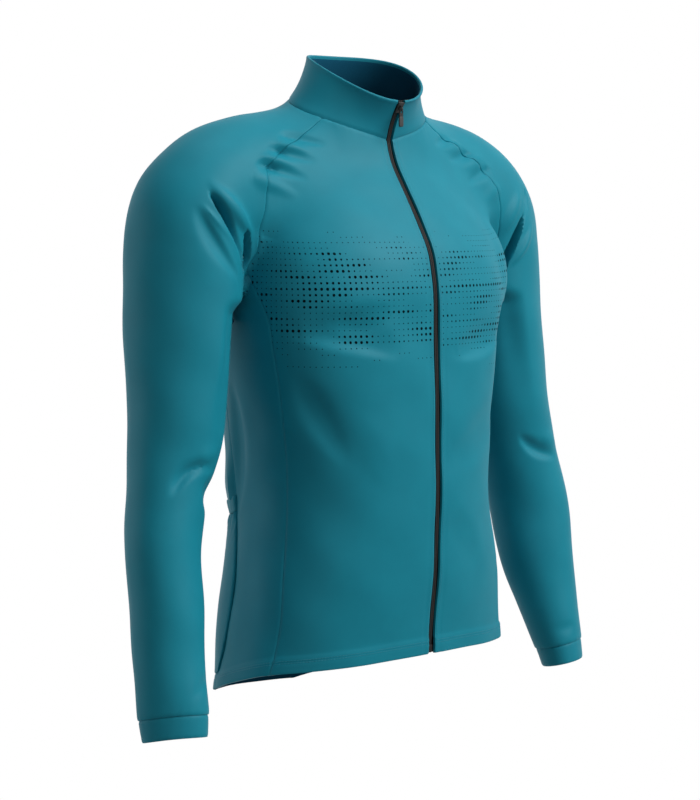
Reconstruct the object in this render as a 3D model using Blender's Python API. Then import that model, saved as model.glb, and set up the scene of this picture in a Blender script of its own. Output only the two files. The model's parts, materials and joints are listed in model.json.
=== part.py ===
"""Long-sleeved cycling jacket with raglan sleeves, a stand collar, a full front zip and a
back pocket, in the hollow form that it keeps when it is worn.

Metres, +Z up. The origin is the middle of the neck's base, between the shoulders. The
wearer faces -Y, and the wearer's left arm is at +X.

The fronts, back, side panels and sleeves all lie on one smooth form: a trunk given by its
level sections, joined softly to two sleeve tubes. Seams are lines on that form, and each
piece is a wall between its own seams.
"""

import bmesh
import bpy
import numpy as np

MM = 0.001

# Cloth and making up
KNIT = 1.5 * MM  # one layer of brushed knit
TURNED = 2.4 * MM  # an edge that is turned in and stitched
SEAM_GAP = 0.3 * MM
ZIP_EDGE = 4.2 * MM  # from the middle to a front's turned edge
ZIP_TURN = 8 * MM
TURN_STEP = 2 * MM  # where a turned edge thins to one layer

# Rows of the trunk's panels, up from the hem: its turned edge, then the pocket and its
# elastic, with even rows from there to the armhole
LOWER_ROWS = np.array([0, 15, 17, 52, 90, 128, 166, 181]) * MM
POCKET_ROWS = slice(2, 7)
ELASTIC_ROWS = slice(6, 8)

HEM_RADIUS = 107 * MM  # at the zip

# Neck and collar
NECK_CENTRE_Y = 7 * MM
NECK_RADIUS = 54 * MM  # at the zip
RIM_HALF_WIDTH = 62 * MM
RIM_HALF_DEPTH = 55 * MM
RIM_CENTRE_Y = -11 * MM
RIM_HEIGHT = 39.5 * MM
RIM_TILT = 25 * MM  # how far the rim rises from its middle height to the nape
RIM_SADDLE = 5.5 * MM  # how far it rises at the sides of that slope
COLLAR_HOLLOW = 2.5 * MM
COLLAR_SHARES = (0, 0.25, 0.5, 0.75, 0.97)  # rows of its height below the rim's fold
RIM_RISE = 0.45 * TURNED  # how far the fold stands over the top row
RIM_FLAT = 0.22 * TURNED  # half the width of the fold's crown
FRONT_RAGLAN_TURN = 65  # degrees round the neck from the zip
BACK_RAGLAN_TURN = 118

# Sleeve and cuff
CUFF_HEIGHT = 21 * MM
CUFF_STEP = 1 * MM
SLEEVE_TURN = -45  # degrees from straight out to a section's narrow axis

# Back pocket
POCKET_STANDS = np.array([7, 9, 7]) * MM  # how far the middle of each compartment stands off
POCKET_FULLNESS = 0.65  # 1 is a plain arch, and less is fuller at its sides
POCKET_SHAPE = (0.0, 0.6, 1.0, 1.0, 0.85)  # shares of that by row, from the foot up
ELASTIC_SHAPE = (0.85, 0.85)

# Zip
TAPE_HALF_WIDTH = 13 * MM
TAPE_DEPTH = 3.0 * MM  # below the fronts' outer face
TAPE_THICKNESS = 0.8 * MM
CHAIN_HALF_WIDTH = 2.6 * MM
CHAIN_TOP_DEPTH = 1.1 * MM
SLIDER_WIDTH = 7.6 * MM
SLIDER_LENGTH = 12 * MM
SLIDER_THICKNESS = 2.2 * MM
SLIDER_DEPTH = 0.8 * MM  # its underside, below the fronts' outer face
SLIDER_PLACE = 0.84  # share of the collar's height
SLIDER_BEVEL = 0.6 * MM
BAIL_RADIUS = 1.5 * MM
BAIL_THICKNESS = 0.7 * MM
BAIL_WIDTH = 1.4 * MM
BAIL_SINK = 1 * MM  # how far its feet go into the slider
PIVOT_HEIGHT = 1.7 * MM  # above the slider's face
PULL_LENGTH = 17 * MM
PULL_WIDTH = 4.6 * MM
PULL_THICKNESS = 1.2 * MM
PULL_BAR = 0.9 * MM
WINDOW_LENGTH = 3.4 * MM

# Grid counts
UPPER_ROWS = 5
RAGLAN_ROWS = 8
FRONT_COLUMNS = 8
SIDE_COLUMNS = 4
BACK_HALF_COLUMNS = 9  # a multiple of 3, so that pocket divisions fall on columns
SHOULDER_COLUMNS = 4
YOKE_ROWS = 8
ARM_ROWS = 12
SLEEVE_STATION_BELOW_ARMPIT = 5.0

BESIDE_START = 40 * MM  # level lines out to the side start this far from the middle
SIDE_FOOT_LEVEL = -560 * MM  # where the side seams' turn at the hem is taken

# Heights at the middle of the rows that reach the armholes
FRONT_ARMPIT_LEVEL = -190 * MM
BACK_ARMPIT_LEVEL = -185 * MM

# Trunk sections in mm. A corner of 2 is an ellipse, and a higher one is squarer.
BODY_COLUMNS = "height half_width front_depth back_depth front_corner back_corner"
BODY_SECTIONS = (
    (-680, 171, 107, 107, 2.4, 2.1),
    (-600, 170, 107, 105, 2.4, 2.12),
    (-540, 163, 109, 102, 2.45, 2.05),
    (-460, 150, 117, 100, 2.5, 1.93),
    (-420, 143.5, 119, 101, 2.42, 1.95),
    (-400, 140.5, 120, 105, 2.38, 2.05),
    (-375, 139, 120.5, 112, 2.36, 2.22),
    (-345, 139.5, 120, 116, 2.39, 2.32),
    (-300, 143, 119.5, 118, 2.5, 2.27),
    (-220, 153, 117, 124, 2.7, 2.2),
    (-170, 157, 115, 128, 2.55, 2.2),
    (-140, 156, 108, 126, 2.38, 2.2),
    (-110, 147, 91.5, 120, 2.28, 2.2),
    (-80, 131, 72, 108, 2.18, 2.1),
    (-50, 106, 53.5, 90, 2.15, 2.1),
    (-20, 82, 46.5, 75, 2.1, 2.1),
    (10, 69, 47, 64, 2.0, 2.0),
    (40, 64, 49, 56, 2.0, 2.0),
    (70, 62, 50, 52, 2.0, 2.0),
)

# Sleeve sections in mm, from inside the shoulder to the cuff's edge
SLEEVE_COLUMNS = "station across aft height half_narrow half_wide"
SLEEVE_SECTIONS = (
    (0, 60, 20, -42, 34, 34),
    (1, 105, 21, -48, 45, 47),
    (2, 160, 22, -67, 53, 54),
    (3, 197, 23, -100, 58, 59),
    (4, 209.5, 19.5, -145, 55, 59),
    (5, 218.5, 13, -220, 48, 56.5),
    (6, 226.5, 10, -300, 47, 48.5),
    (7, 240.3, 7, -364, 44, 40.6),
    (8, 252.5, -1, -420, 43.5, 36.8),
    (9, 256, -11, -480, 40.5, 36),
    (10, 261.5, -21, -526, 34, 34.5),
    (11, 267, -34, -575, 26.5, 34.3),
    (12, 269, -40, -600, 23.5, 32.5),
)
LAST_STATION = SLEEVE_SECTIONS[-1][0]

# How softly sleeve and trunk run together, by height in mm
BLEND_COLUMNS = "height radius"
BLEND = ((-700, 6), (-200, 6), (-175, 6), (-140, 28), (-105, 50), (-80, 50), (100, 50))

# Height of the neck seam and of the hem in mm, by degrees round from the zip
NECK_COLUMNS = "turn height"
NECK_SEAM = ((0, -30), (45, -17.5), (70, -5.5), (90, 6), (135, 15), (180, 16.5))
HEM_COLUMNS = "turn height"
HEM = (
    (0, -543),
    (35, -545),
    (60, -549),
    (75, -554),
    (90, -566),
    (107, -583),
    (130, -592),
    (180, -602),
)

# Raglan seams of the +X side in mm, from the neck down to the side panel: across, aft, height
FRONT_RAGLAN = (
    (98, -28, -25),
    (128, -30, -43),
    (148, -32, -60),
    (158, -34, -82),
    (162, -35, -104),
    (165, -32, -133),
    (165, -24, -155),
    (160, -20, -171),
)
BACK_RAGLAN = (
    (84, 56, -2),
    (112, 68, -22),
    (134, 76, -46),
    (150, 80, -74),
    (159, 78, -102),
    (163, 68, -130),
    (164, 55, -154),
    (160, 42, -172),
)
# The seam under the arm between them
UNDERARM = ((159, 0, -184), (159, 13, -188), (159, 28, -184))

# Side panel's edges in mm aft of the middle, by height
SIDE_SEAM_COLUMNS = "height front back"
SIDE_SEAMS = (
    (-620, -40, 44),
    (-570, -42, 36),
    (-535, -48, 24),
    (-500, -51, 19),
    (-460, -49, 20),
    (-420, -46, 30),
    (-385, -44, 36),
    (-340, -43, 41),
    (-290, -43, 48),
    (-235, -41, 49),
    (-205, -38, 47),
    (-171, -20, 42),
)

# The largest folds of the +X side in mm: ends and middle of each trough
FOLD_END = 0.12  # a fold's depth at its ends is sin(pi * this) of its middle's
FOLD_COLUMNS = "x0 y0 z0 x1 y1 z1 x2 y2 z2 half_width depth"
FOLDS = (
    (219, -30, -84, 198, -37, -120, 172, -26, -156, 11, 6),
    (206, 74, -92, 188, 74, -122, 170, 52, -158, 12, 5),
    (262, -34, -364, 240, -36, -348, 217, -30, -345, 10, 3),
)

# sRGB hex, roughness, metallic
TEAL = ("teal brushed knit", "1f6f82", 0.75, 0.0)
TEAL_CUFF = ("teal cuff knit", "1d6b7e", 0.78, 0.0)
TEAL_COLLAR = ("teal collar knit", "1c6679", 0.75, 0.0)
TEAL_ELASTIC = ("teal elastic", "1a5c6e", 0.8, 0.0)
BLACK_TAPE = ("black zip tape", "101214", 0.85, 0.0)
GREY_COIL = ("dark grey coil zip", "24292a", 0.55, 0.0)
BLACK_METAL = ("black painted zinc", "0c0d0e", 0.38, 0.6)
GREY_PULL = ("dark grey pull", "2b2f31", 0.45, 0.3)


def columns_of(names, rows):
    """A table's columns by name, as arrays."""
    return dict(zip(names.split(), np.array(rows, float).T))


def curve_through(stations, values):
    """A smooth curve through the rows of a table, as a function of the station."""
    stations = np.asarray(stations, float)
    values = np.asarray(values, float)
    step = np.diff(stations)
    shape = (-1,) + (1,) * (values.ndim - 1)
    slope = np.diff(values, axis=0) / step.reshape(shape)
    tangent = np.empty_like(values)
    tangent[0], tangent[-1] = slope[0], slope[-1]
    before, after = step[:-1].reshape(shape), step[1:].reshape(shape)
    tangent[1:-1] = (slope[:-1] * after + slope[1:] * before) / (before + after)

    def at(where):
        where = np.clip(np.asarray(where, float), stations[0], stations[-1])
        row = np.clip(np.searchsorted(stations, where, side="right") - 1, 0, len(step) - 1)
        gap = step[row]
        share = (where - stations[row]) / gap
        if values.ndim > 1:
            share, gap = share[..., None], gap[..., None]
        rest = 1 - share
        ends = values[row] * (1 + 2 * share) * rest**2
        ends = ends + values[row + 1] * share**2 * (3 - 2 * share)
        bends = tangent[row] * share * rest**2 - tangent[row + 1] * share**2 * rest
        return ends + gap * bends

    return at


def unit(vectors):
    return vectors / np.maximum(np.linalg.norm(vectors, axis=-1, keepdims=True), 1e-12)


def mirrored(points):
    return points * np.array([-1.0, 1.0, 1.0])


body = columns_of(BODY_COLUMNS, BODY_SECTIONS)
body_section = curve_through(
    body["height"] * MM,
    np.column_stack(
        [body[name] * MM for name in ("half_width", "front_depth", "back_depth")]
        + [body["front_corner"], body["back_corner"]]
    ),
)
sleeve = columns_of(SLEEVE_COLUMNS, SLEEVE_SECTIONS)
sleeve_centre = curve_through(
    sleeve["station"], np.column_stack([sleeve[name] * MM for name in ("across", "aft", "height")])
)
sleeve_half = curve_through(
    sleeve["station"], np.column_stack([sleeve["half_narrow"] * MM, sleeve["half_wide"] * MM])
)
blend = columns_of(BLEND_COLUMNS, BLEND)
blend_radius = curve_through(blend["height"] * MM, blend["radius"] * MM)
neck = columns_of(NECK_COLUMNS, NECK_SEAM)
neck_height = curve_through(neck["turn"], neck["height"] * MM)
hem = columns_of(HEM_COLUMNS, HEM)
hem_height = curve_through(hem["turn"], hem["height"] * MM)
side_seams = columns_of(SIDE_SEAM_COLUMNS, SIDE_SEAMS)
side_seam_aft = {
    edge: curve_through(side_seams["height"] * MM, side_seams[edge] * MM)
    for edge in ("front", "back")
}

STATIONS = np.linspace(0, LAST_STATION, 121)
CENTRES = sleeve_centre(STATIONS)


def sleeve_axes(station):
    """Directions along the sleeve, square to it and aft, and square to both."""
    step = 0.001
    along = unit(sleeve_centre(station + step) - sleeve_centre(station - step))
    aft = np.zeros_like(along)
    aft[..., 1] = 1
    aft = unit(aft - (aft * along).sum(-1, keepdims=True) * along)
    return along, aft, np.cross(along, aft)


def sleeve_frame(station):
    """Along the sleeve, and its section's narrow and wide axes."""
    along, aft, out = sleeve_axes(station)
    turn = np.radians(SLEEVE_TURN)
    narrow = np.cos(turn) * out + np.sin(turn) * aft
    wide = -np.sin(turn) * out + np.cos(turn) * aft
    return along, narrow, wide


def nearest_station(points):
    """The station of the +X sleeve that lies nearest each point."""
    gaps = ((points[:, None, :] - CENTRES[None]) ** 2).sum(-1)
    near = np.clip(gaps.argmin(1), 1, len(STATIONS) - 2)
    row = np.arange(len(points))
    before, here, after = gaps[row, near - 1], gaps[row, near], gaps[row, near + 1]
    bend = np.maximum(before - 2 * here + after, 1e-12)
    shift = np.clip(0.5 * (before - after) / bend, -1, 1)
    return np.clip((near + shift) * STATIONS[1], 0, LAST_STATION)


def sleeve_distance(points):
    """How far points lie outside the +X sleeve's tube, and less than nothing inside it."""
    station = nearest_station(points)
    offset = points - sleeve_centre(station)
    along, narrow, wide = sleeve_frame(station)
    half = sleeve_half(station)
    scaled = np.sqrt(
        ((offset * narrow).sum(-1) / half[:, 0]) ** 2
        + ((offset * wide).sum(-1) / half[:, 1]) ** 2
        + ((offset * along).sum(-1) / half.min(-1)) ** 2
    )
    return np.linalg.norm(offset, axis=-1) * (1 - 1 / (scaled + 1e-9))


def section_distance(points):
    """How far points lie outside the trunk, measured level."""
    row = body_section(points[:, 2])
    ahead = points[:, 1] < 0
    depth = np.where(ahead, row[:, 1], row[:, 2])
    corner = np.where(ahead, row[:, 3], row[:, 4])
    wide = np.abs(points[:, 0]) / row[:, 0]
    deep = np.abs(points[:, 1]) / depth
    scaled = (wide**corner + deep**corner) ** (1 / corner) + 1e-9
    return np.hypot(points[:, 0], points[:, 1]) * (1 - 1 / scaled)


def body_distance(points):
    """The same, measured square to the trunk where it slopes."""
    step = np.array([0, 0, 2 * MM])
    level = section_distance(points)
    slope = (section_distance(points + step) - level) / step[2]
    return level / np.sqrt(1 + np.clip(slope, -3, 3) ** 2)


def fold_lines():
    """Each fold's trough as points on a parabola, with its half width and depth."""
    share = np.linspace(0, 1, 13)[:, None]
    for row in FOLDS:
        fold = dict(zip(FOLD_COLUMNS.split(), np.array(row, float) * MM))
        first, middle, last = (
            np.array([fold[axis + end] for axis in "xyz"]) for end in "012"
        )
        bend = 2 * middle - (first + last) / 2
        line = first * (1 - share) ** 2 + bend * 2 * share * (1 - share) + last * share**2
        yield line, fold["half_width"], fold["depth"]


FOLD_LINES = tuple(fold_lines())


def fold_depth(points):
    """How far the folds draw the cloth in, fading towards both ends of each."""
    total = np.zeros(len(points))
    for line, half_width, depth in FOLD_LINES:
        gaps = np.linalg.norm(points[:, None, :] - line[None], axis=-1)
        place = gaps.argmin(1) / (len(line) - 1)
        fade = np.sin(np.pi * (FOLD_END + (1 - 2 * FOLD_END) * place))
        total += depth * fade * np.exp(-((gaps.min(1) / half_width) ** 2))
    return total


def form(points):
    """The jacket's outer face is where this is nothing: outside it is more, inside less."""
    shape = points.shape[:-1]
    points = points.reshape(-1, 3) * 1.0
    points[:, 0] = np.abs(points[:, 0])
    arm, trunk = sleeve_distance(points), body_distance(points)
    radius = blend_radius(points[:, 2])
    share = np.clip(0.5 + 0.5 * (arm - trunk) / radius, 0, 1)
    joined = arm * (1 - share) + trunk * share - radius * share * (1 - share)
    return (joined + fold_depth(points)).reshape(shape)


def form_normal(points):
    reach = 1.5 * MM
    return unit(
        np.stack([form(points + reach * axis) - form(points - reach * axis) for axis in np.eye(3)], -1)
    )


def settled(points):
    """Points brought square onto the form."""
    reach = 1.0 * MM
    for _ in range(7):
        slope = np.stack(
            [form(points + reach * axis) - form(points - reach * axis) for axis in np.eye(3)], -1
        ) / (2 * reach)
        steep = np.maximum((slope**2).sum(-1, keepdims=True), 0.2)
        points = points - form(points)[..., None] * slope / steep
    return points


def struck(start, direction, nearest=20 * MM, farthest=200 * MM):
    """Where a straight line from inside the form first leaves it."""
    reach = np.linspace(nearest, farthest, 46)
    along = start[:, None, :] + reach[None, :, None] * direction[:, None, :]
    outside = form(along) > 0
    first = np.maximum(outside.argmax(1), 1)
    low, high = reach[first - 1], reach[first]
    for _ in range(24):
        middle = (low + high) / 2
        out = form(start + middle[:, None] * direction) > 0
        low, high = np.where(out, low, middle), np.where(out, middle, high)
    return start + low[:, None] * direction


def struck_round(turn, height, centre_y):
    """Points of the form at degrees round from the zip, on level lines from the middle."""
    turn = np.radians(np.asarray(turn, float))
    start = np.stack([0 * turn, 0 * turn + centre_y, height], -1)
    direction = np.stack([np.sin(turn), -np.cos(turn), 0 * turn], -1)
    return struck(start, direction)


def struck_ahead(across, height):
    """Points of the form's front at a distance across from the middle."""
    start = np.stack([across, 0 * across, height], -1)
    return struck(start, np.broadcast_to([0.0, -1.0, 0.0], start.shape))


def struck_beside(aft, height):
    """Points of the form's +X side at a distance aft of the middle."""
    start = np.stack([0 * aft + BESIDE_START, aft, height], -1)
    return struck(start, np.broadcast_to([1.0, 0.0, 0.0], start.shape))


def evenly(points, count):
    """A smooth line through points, with count equal steps along it."""
    run = np.r_[0, np.cumsum(np.linalg.norm(np.diff(points, axis=0), axis=1))]
    return curve_through(run, points)(np.linspace(0, run[-1], count + 1))


# Seams of the +X side


def neck_line(turns):
    return struck_round(turns, neck_height(np.asarray(turns, float)), NECK_CENTRE_Y)


def hem_line(turns):
    return struck_round(turns, hem_height(np.asarray(turns, float)), 0.0)


def turn_of(points):
    return np.degrees(np.arctan2(points[..., 0], -points[..., 1]))


def raglan_line(neck_turn, rows):
    """From the side panel up to the neck."""
    guide = np.vstack([neck_line([neck_turn]), np.array(rows) * MM])
    line = settled(evenly(guide, RAGLAN_ROWS))
    line[0] = guide[0]
    return line[::-1]


def row_heights(foot, armpit):
    """Heights of a panel's rows along one seam, from the hem up to the armhole."""
    lower = foot + LOWER_ROWS
    return np.r_[lower, np.linspace(lower[-1], armpit, UPPER_ROWS + 1)[1:]]


def side_line(edge, top_point):
    """A side panel's front or back seam, from the hem up to the armhole."""
    foot_aft = side_seam_aft[edge](SIDE_FOOT_LEVEL)
    foot_turn = turn_of(struck_beside(np.array([foot_aft]), np.array([SIDE_FOOT_LEVEL])))
    foot = hem_height(foot_turn)[0]
    heights = row_heights(foot, top_point[2])
    line = struck_beside(side_seam_aft[edge](heights), heights)
    line[-1] = top_point
    return line


front_raglan = raglan_line(FRONT_RAGLAN_TURN, FRONT_RAGLAN)
back_raglan = raglan_line(BACK_RAGLAN_TURN, BACK_RAGLAN)
underarm = settled(
    evenly(
        np.vstack([front_raglan[0], np.array(UNDERARM) * MM, back_raglan[0]]), SIDE_COLUMNS
    )
)
underarm[0], underarm[-1] = front_raglan[0], back_raglan[0]
side_front = side_line("front", front_raglan[0])
side_back = side_line("back", back_raglan[0])


def patch(first, last, foot, head, across):
    """A grid between four seams, blended in turn, height and distance from the middle.

    first and last run up the two sides, foot and head run across, and across holds the
    columns' shares of the width.
    """

    def rounded(points):
        return np.stack(
            [turn_of(points), points[..., 2], np.hypot(points[..., 0], points[..., 1])], -1
        )

    first, last, foot, head = (rounded(line) for line in (first, last, foot, head))
    rise = np.linspace(0, 1, len(first))[:, None, None]
    share = np.asarray(across, float)[None, :, None]
    blend_sides = first[:, None] * (1 - share) + last[:, None] * share
    blend_ends = foot[None] * (1 - rise) + head[None] * rise
    corners = (foot[0] * (1 - share) + foot[-1] * share) * (1 - rise)
    corners = corners + (head[0] * (1 - share) + head[-1] * share) * rise
    turn, height, reach = np.moveaxis(blend_sides + blend_ends - corners, -1, 0)
    turn = np.radians(turn)
    return np.stack([reach * np.sin(turn), -reach * np.cos(turn), height], -1)


def panel_grid(first, last, foot, head, across):
    """The patch brought onto the form, with its edges exactly on the seams."""
    grid = settled(patch(first, last, foot, head, across))
    grid[:, 0], grid[:, -1], grid[0], grid[-1] = first, last, foot, head
    return grid


# Walls


def inset(grid, normals, distance, closed):
    """The grid with its free edges drawn back along the cloth."""
    moved = grid.copy()

    def draw_back(edge, inner, normal, wrap):
        along = np.roll(edge, -1, 0) - np.roll(edge, 1, 0)
        if not wrap:
            along[0], along[-1] = edge[1] - edge[0], edge[-1] - edge[-2]
        back = unit(np.cross(normal, along))
        side = np.sign((back * (inner - edge)).sum(-1, keepdims=True))
        return back * side * distance

    moved[0] += draw_back(grid[0], grid[1], normals[0], closed)
    moved[-1] += draw_back(grid[-1], grid[-2], normals[-1], closed)
    if not closed:
        moved[:, 0] += draw_back(grid[:, 0], grid[:, 1], normals[:, 0], False)
        moved[:, -1] += draw_back(grid[:, -1], grid[:, -2], normals[:, -1], False)
    return moved


def halves(a, b, c, d, on_ac):
    """A quad as two triangles, split from a to c or else from b to d."""
    return [(a, b, c), (a, c, d)] if on_ac else [(a, b, d), (b, c, d)]


def wall_faces(points, rows, columns, closed):
    """Triangles of an outer and an inner grid, and of the edges that join them.

    Both grids are split alike to either side of the middle, so that pieces in layers keep
    their distance. The edges are split on their shorter diagonals, so that the two sides
    of a seam match.
    """
    outer = np.arange(rows * columns).reshape(rows, columns)
    if closed:
        outer = np.column_stack([outer, outer[:, 0]])
    inner = outer + rows * columns
    faces = []
    for r in range(outer.shape[0] - 1):
        for c in range(outer.shape[1] - 1):
            before_middle = 2 * c < outer.shape[1] - 1
            corners = (r, c), (r, c + 1), (r + 1, c + 1), (r + 1, c)
            faces += halves(*(outer[corner] for corner in corners), before_middle)
            inside = halves(*(inner[corner] for corner in corners), before_middle)
            faces += [face[::-1] for face in inside]
    edges = [(outer[0], inner[0]), (inner[-1], outer[-1])]
    if not closed:
        edges += [(inner[:, 0], outer[:, 0]), (outer[:, -1], inner[:, -1])]
    for upper, lower in edges:
        for a, b, c, d in zip(upper[:-1], lower[:-1], lower[1:], upper[1:]):
            across_ac = np.linalg.norm(points[a] - points[c])
            across_bd = np.linalg.norm(points[b] - points[d])
            faces += halves(a, b, c, d, across_ac < across_bd)
    return [tuple(int(i) for i in face) for face in faces]


def principled(settings):
    name, colour, roughness, metallic = settings
    if name in bpy.data.materials:
        return bpy.data.materials[name]
    material = bpy.data.materials.new(name)
    material.use_nodes = True
    shader = material.node_tree.nodes["Principled BSDF"]
    channels = np.array([int(colour[i : i + 2], 16) / 255 for i in (0, 2, 4)])
    linear = np.where(channels <= 0.04045, channels / 12.92, ((channels + 0.055) / 1.055) ** 2.4)
    shader.inputs["Base Color"].default_value = (*linear, 1)
    shader.inputs["Roughness"].default_value = roughness
    shader.inputs["Metallic"].default_value = metallic
    return material


def add_object(name, mesh, settings, origin=(0, 0, 0)):
    mesh.materials.clear()
    mesh.materials.append(principled(settings))
    mesh.shade_smooth()
    mesh.set_sharp_from_angle(angle=np.radians(40))
    thing = bpy.data.objects.new(name, mesh)
    thing.location = origin
    jacket.objects.link(thing)
    return thing


def mesh_of(name, points, faces):
    """A closed mesh with its faces turned outwards."""
    mesh = bpy.data.meshes.new(name)
    mesh.from_pydata([tuple(point) for point in points], [], faces)
    work = bmesh.new()
    work.from_mesh(mesh)
    if work.calc_volume(signed=True) < 0:
        bmesh.ops.reverse_faces(work, faces=work.faces)
    work.to_mesh(mesh)
    work.free()
    return mesh


def cloth(name, outer, normals, thickness, settings, closed=False, gap=SEAM_GAP):
    """A piece of cloth as a wall under its outer face, drawn back at its seams."""
    outer = inset(outer, normals, gap / 2, closed)
    depth = np.broadcast_to(thickness, outer.shape[:2])[..., None]
    inner = outer - normals * depth
    points = np.concatenate([outer.reshape(-1, 3), inner.reshape(-1, 3)])
    mesh = mesh_of(name, points, wall_faces(points, *outer.shape[:2], closed))
    return add_object(name, mesh, settings)


def both_sides(name, outer, normals, thickness, settings, closed=False):
    """The wearer's left piece, and its mirror image on the right."""
    cloth(f"{name}_left", outer, normals, thickness, settings, closed)
    cloth(f"{name}_right", mirrored(outer), mirrored(normals), thickness, settings, closed)


# The pieces


def front_rows_at_zip():
    """Heights of a front's rows along the zip, level with those of its side."""
    trunk = row_heights(hem_height(0.0), FRONT_ARMPIT_LEVEL)
    return np.r_[trunk, np.linspace(trunk[-1], neck_height(0.0), RAGLAN_ROWS + 1)[1:]]


def front_columns(last_turn, radius):
    """Degrees round of a front's columns: the turned zip edge first, then even steps."""
    turned = [ZIP_EDGE, ZIP_EDGE + ZIP_TURN, ZIP_EDGE + ZIP_TURN + TURN_STEP]
    turned = np.degrees(np.arcsin(np.array(turned) / radius))
    return np.r_[turned, np.linspace(turned[-1], last_turn, FRONT_COLUMNS - 1)[1:]]


def turned_walls(rows, columns, zip_edge):
    """Wall thickness over a panel, with its hem and maybe its zip edge turned in."""
    thickness = np.full((rows, columns), KNIT)
    thickness[:2] = TURNED
    if zip_edge:
        thickness[:, :2] = TURNED
    return thickness


def make_fronts():
    heights = front_rows_at_zip()
    zip_line = struck_ahead(np.full(len(heights), ZIP_EDGE), heights)
    side = np.vstack([side_front, front_raglan[1:]])
    head_turns = front_columns(FRONT_RAGLAN_TURN, NECK_RADIUS)
    head = neck_line(head_turns)
    foot_turns = front_columns(turn_of(side_front[0]), HEM_RADIUS)
    foot = hem_line(foot_turns)
    zip_line[0], zip_line[-1] = foot[0], head[0]
    share = (head_turns - head_turns[0]) / (head_turns[-1] - head_turns[0])
    foot_share = (foot_turns - foot_turns[0]) / (foot_turns[-1] - foot_turns[0])
    grid = panel_grid(zip_line, side, foot, head, (share + foot_share) / 2)
    walls = turned_walls(*grid.shape[:2], zip_edge=True)
    both_sides("front", grid, form_normal(grid), walls, TEAL)


def make_sides():
    foot_turns = np.linspace(turn_of(side_front[0]), turn_of(side_back[0]), SIDE_COLUMNS + 1)
    foot = hem_line(foot_turns)
    foot[0], foot[-1] = side_front[0], side_back[0]
    grid = panel_grid(side_front, side_back, foot, underarm, np.linspace(0, 1, SIDE_COLUMNS + 1))
    both_sides("side_panel", grid, form_normal(grid), turned_walls(*grid.shape[:2], False), TEAL)


def back_half():
    """The back's grid from the +X seam to the middle."""
    side = np.vstack([side_back, back_raglan[1:]])
    head = neck_line(np.linspace(BACK_RAGLAN_TURN, 180, BACK_HALF_COLUMNS + 1))
    foot = hem_line(np.linspace(turn_of(side_back[0]), 180, BACK_HALF_COLUMNS + 1))
    foot[0], head[0] = side[0], side[-1]
    trunk = row_heights(foot[-1, 2], BACK_ARMPIT_LEVEL)
    heights = np.r_[trunk, np.linspace(trunk[-1], head[-1, 2], RAGLAN_ROWS + 1)[1:]]
    middle = struck_round(np.full(len(heights), 180.0), heights, NECK_CENTRE_Y)
    middle[0], middle[-1] = foot[-1], head[-1]
    return panel_grid(side, middle, foot, head, np.linspace(0, 1, BACK_HALF_COLUMNS + 1))


def whole_width(half):
    """A grid from the +X edge to the -X edge, from its +X half."""
    return np.concatenate([half, mirrored(half[:, -2::-1])], axis=1)


def make_back():
    grid = whole_width(back_half())
    cloth("back", grid, form_normal(grid), turned_walls(*grid.shape[:2], False), TEAL)


def pocket_stand(columns, shape):
    """How far the pocket stands off the back: least at its seams and two divisions."""
    across = np.linspace(0, len(POCKET_STANDS), columns)
    compartment = np.minimum(across.astype(int), len(POCKET_STANDS) - 1)
    arch = np.maximum(np.sin(np.pi * (across - compartment)), 0)
    bulge = np.where(arch < 0.01, 0, arch) ** POCKET_FULLNESS
    return SEAM_GAP + POCKET_STANDS[compartment] * bulge * np.array(shape)[:, None]


def make_pocket():
    """One pocket piece in three compartments, gathered by an elastic at its mouth."""
    grid = whole_width(back_half())
    normals = form_normal(grid)
    for name, rows, shape, settings in (
        ("back_pocket", POCKET_ROWS, POCKET_SHAPE, TEAL),
        ("pocket_elastic", ELASTIC_ROWS, ELASTIC_SHAPE, TEAL_ELASTIC),
    ):
        stand = pocket_stand(grid.shape[1], shape) + KNIT
        outer = grid[rows] + normals[rows] * stand[..., None]
        cloth(name, outer, normals[rows], KNIT, settings)


def sleeve_loop():
    """The armhole and the sleeve's end at the neck, from the underarm round the front."""
    shoulder = neck_line(np.linspace(FRONT_RAGLAN_TURN, BACK_RAGLAN_TURN, SHOULDER_COLUMNS + 1))
    half = SIDE_COLUMNS // 2
    return np.vstack(
        [
            underarm[half::-1],
            front_raglan[1:],
            shoulder[1:-1],
            back_raglan[::-1],
            underarm[-2:half:-1],
        ]
    )


def round_sleeve(station, turn, reach, slide=0.0):
    """Points round the sleeve's centre, turned from the underarm towards the front."""
    along, aft, out = sleeve_axes(station)
    spoke = -np.cos(turn)[..., None] * out - np.sin(turn)[..., None] * aft
    slide = np.broadcast_to(slide, np.shape(turn))[..., None]
    return sleeve_centre(station) + spoke * reach[..., None] + along * slide


def sleeve_polar(points):
    """Station, turn, reach and slide that give points back through round_sleeve."""
    station = nearest_station(points)
    offset = points - sleeve_centre(station)
    along, aft, out = sleeve_axes(station)
    rearward, outward = (offset * aft).sum(-1), (offset * out).sum(-1)
    turn = np.arctan2(-rearward, -outward)
    reach = np.hypot(rearward, outward)
    slide = (offset * along).sum(-1)
    return station, turn % (2 * np.pi), reach, slide


def sleeve_rings(stations, count):
    """Rings of the form square to the sleeve's centre line."""
    turn = np.linspace(0, 2 * np.pi, count, endpoint=False)
    station = np.repeat(np.asarray(stations, float)[:, None], count, 1)
    turn = np.broadcast_to(turn, station.shape)
    half = sleeve_half(station).mean(-1)
    return settled(round_sleeve(station, turn, half))


def cuff_station(height):
    """The station this far up the sleeve's centre line from the cuff's edge."""
    run = np.r_[0, np.cumsum(np.linalg.norm(np.diff(CENTRES, axis=0), axis=1))]
    return np.interp(run[-1] - height, run, STATIONS)


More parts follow.
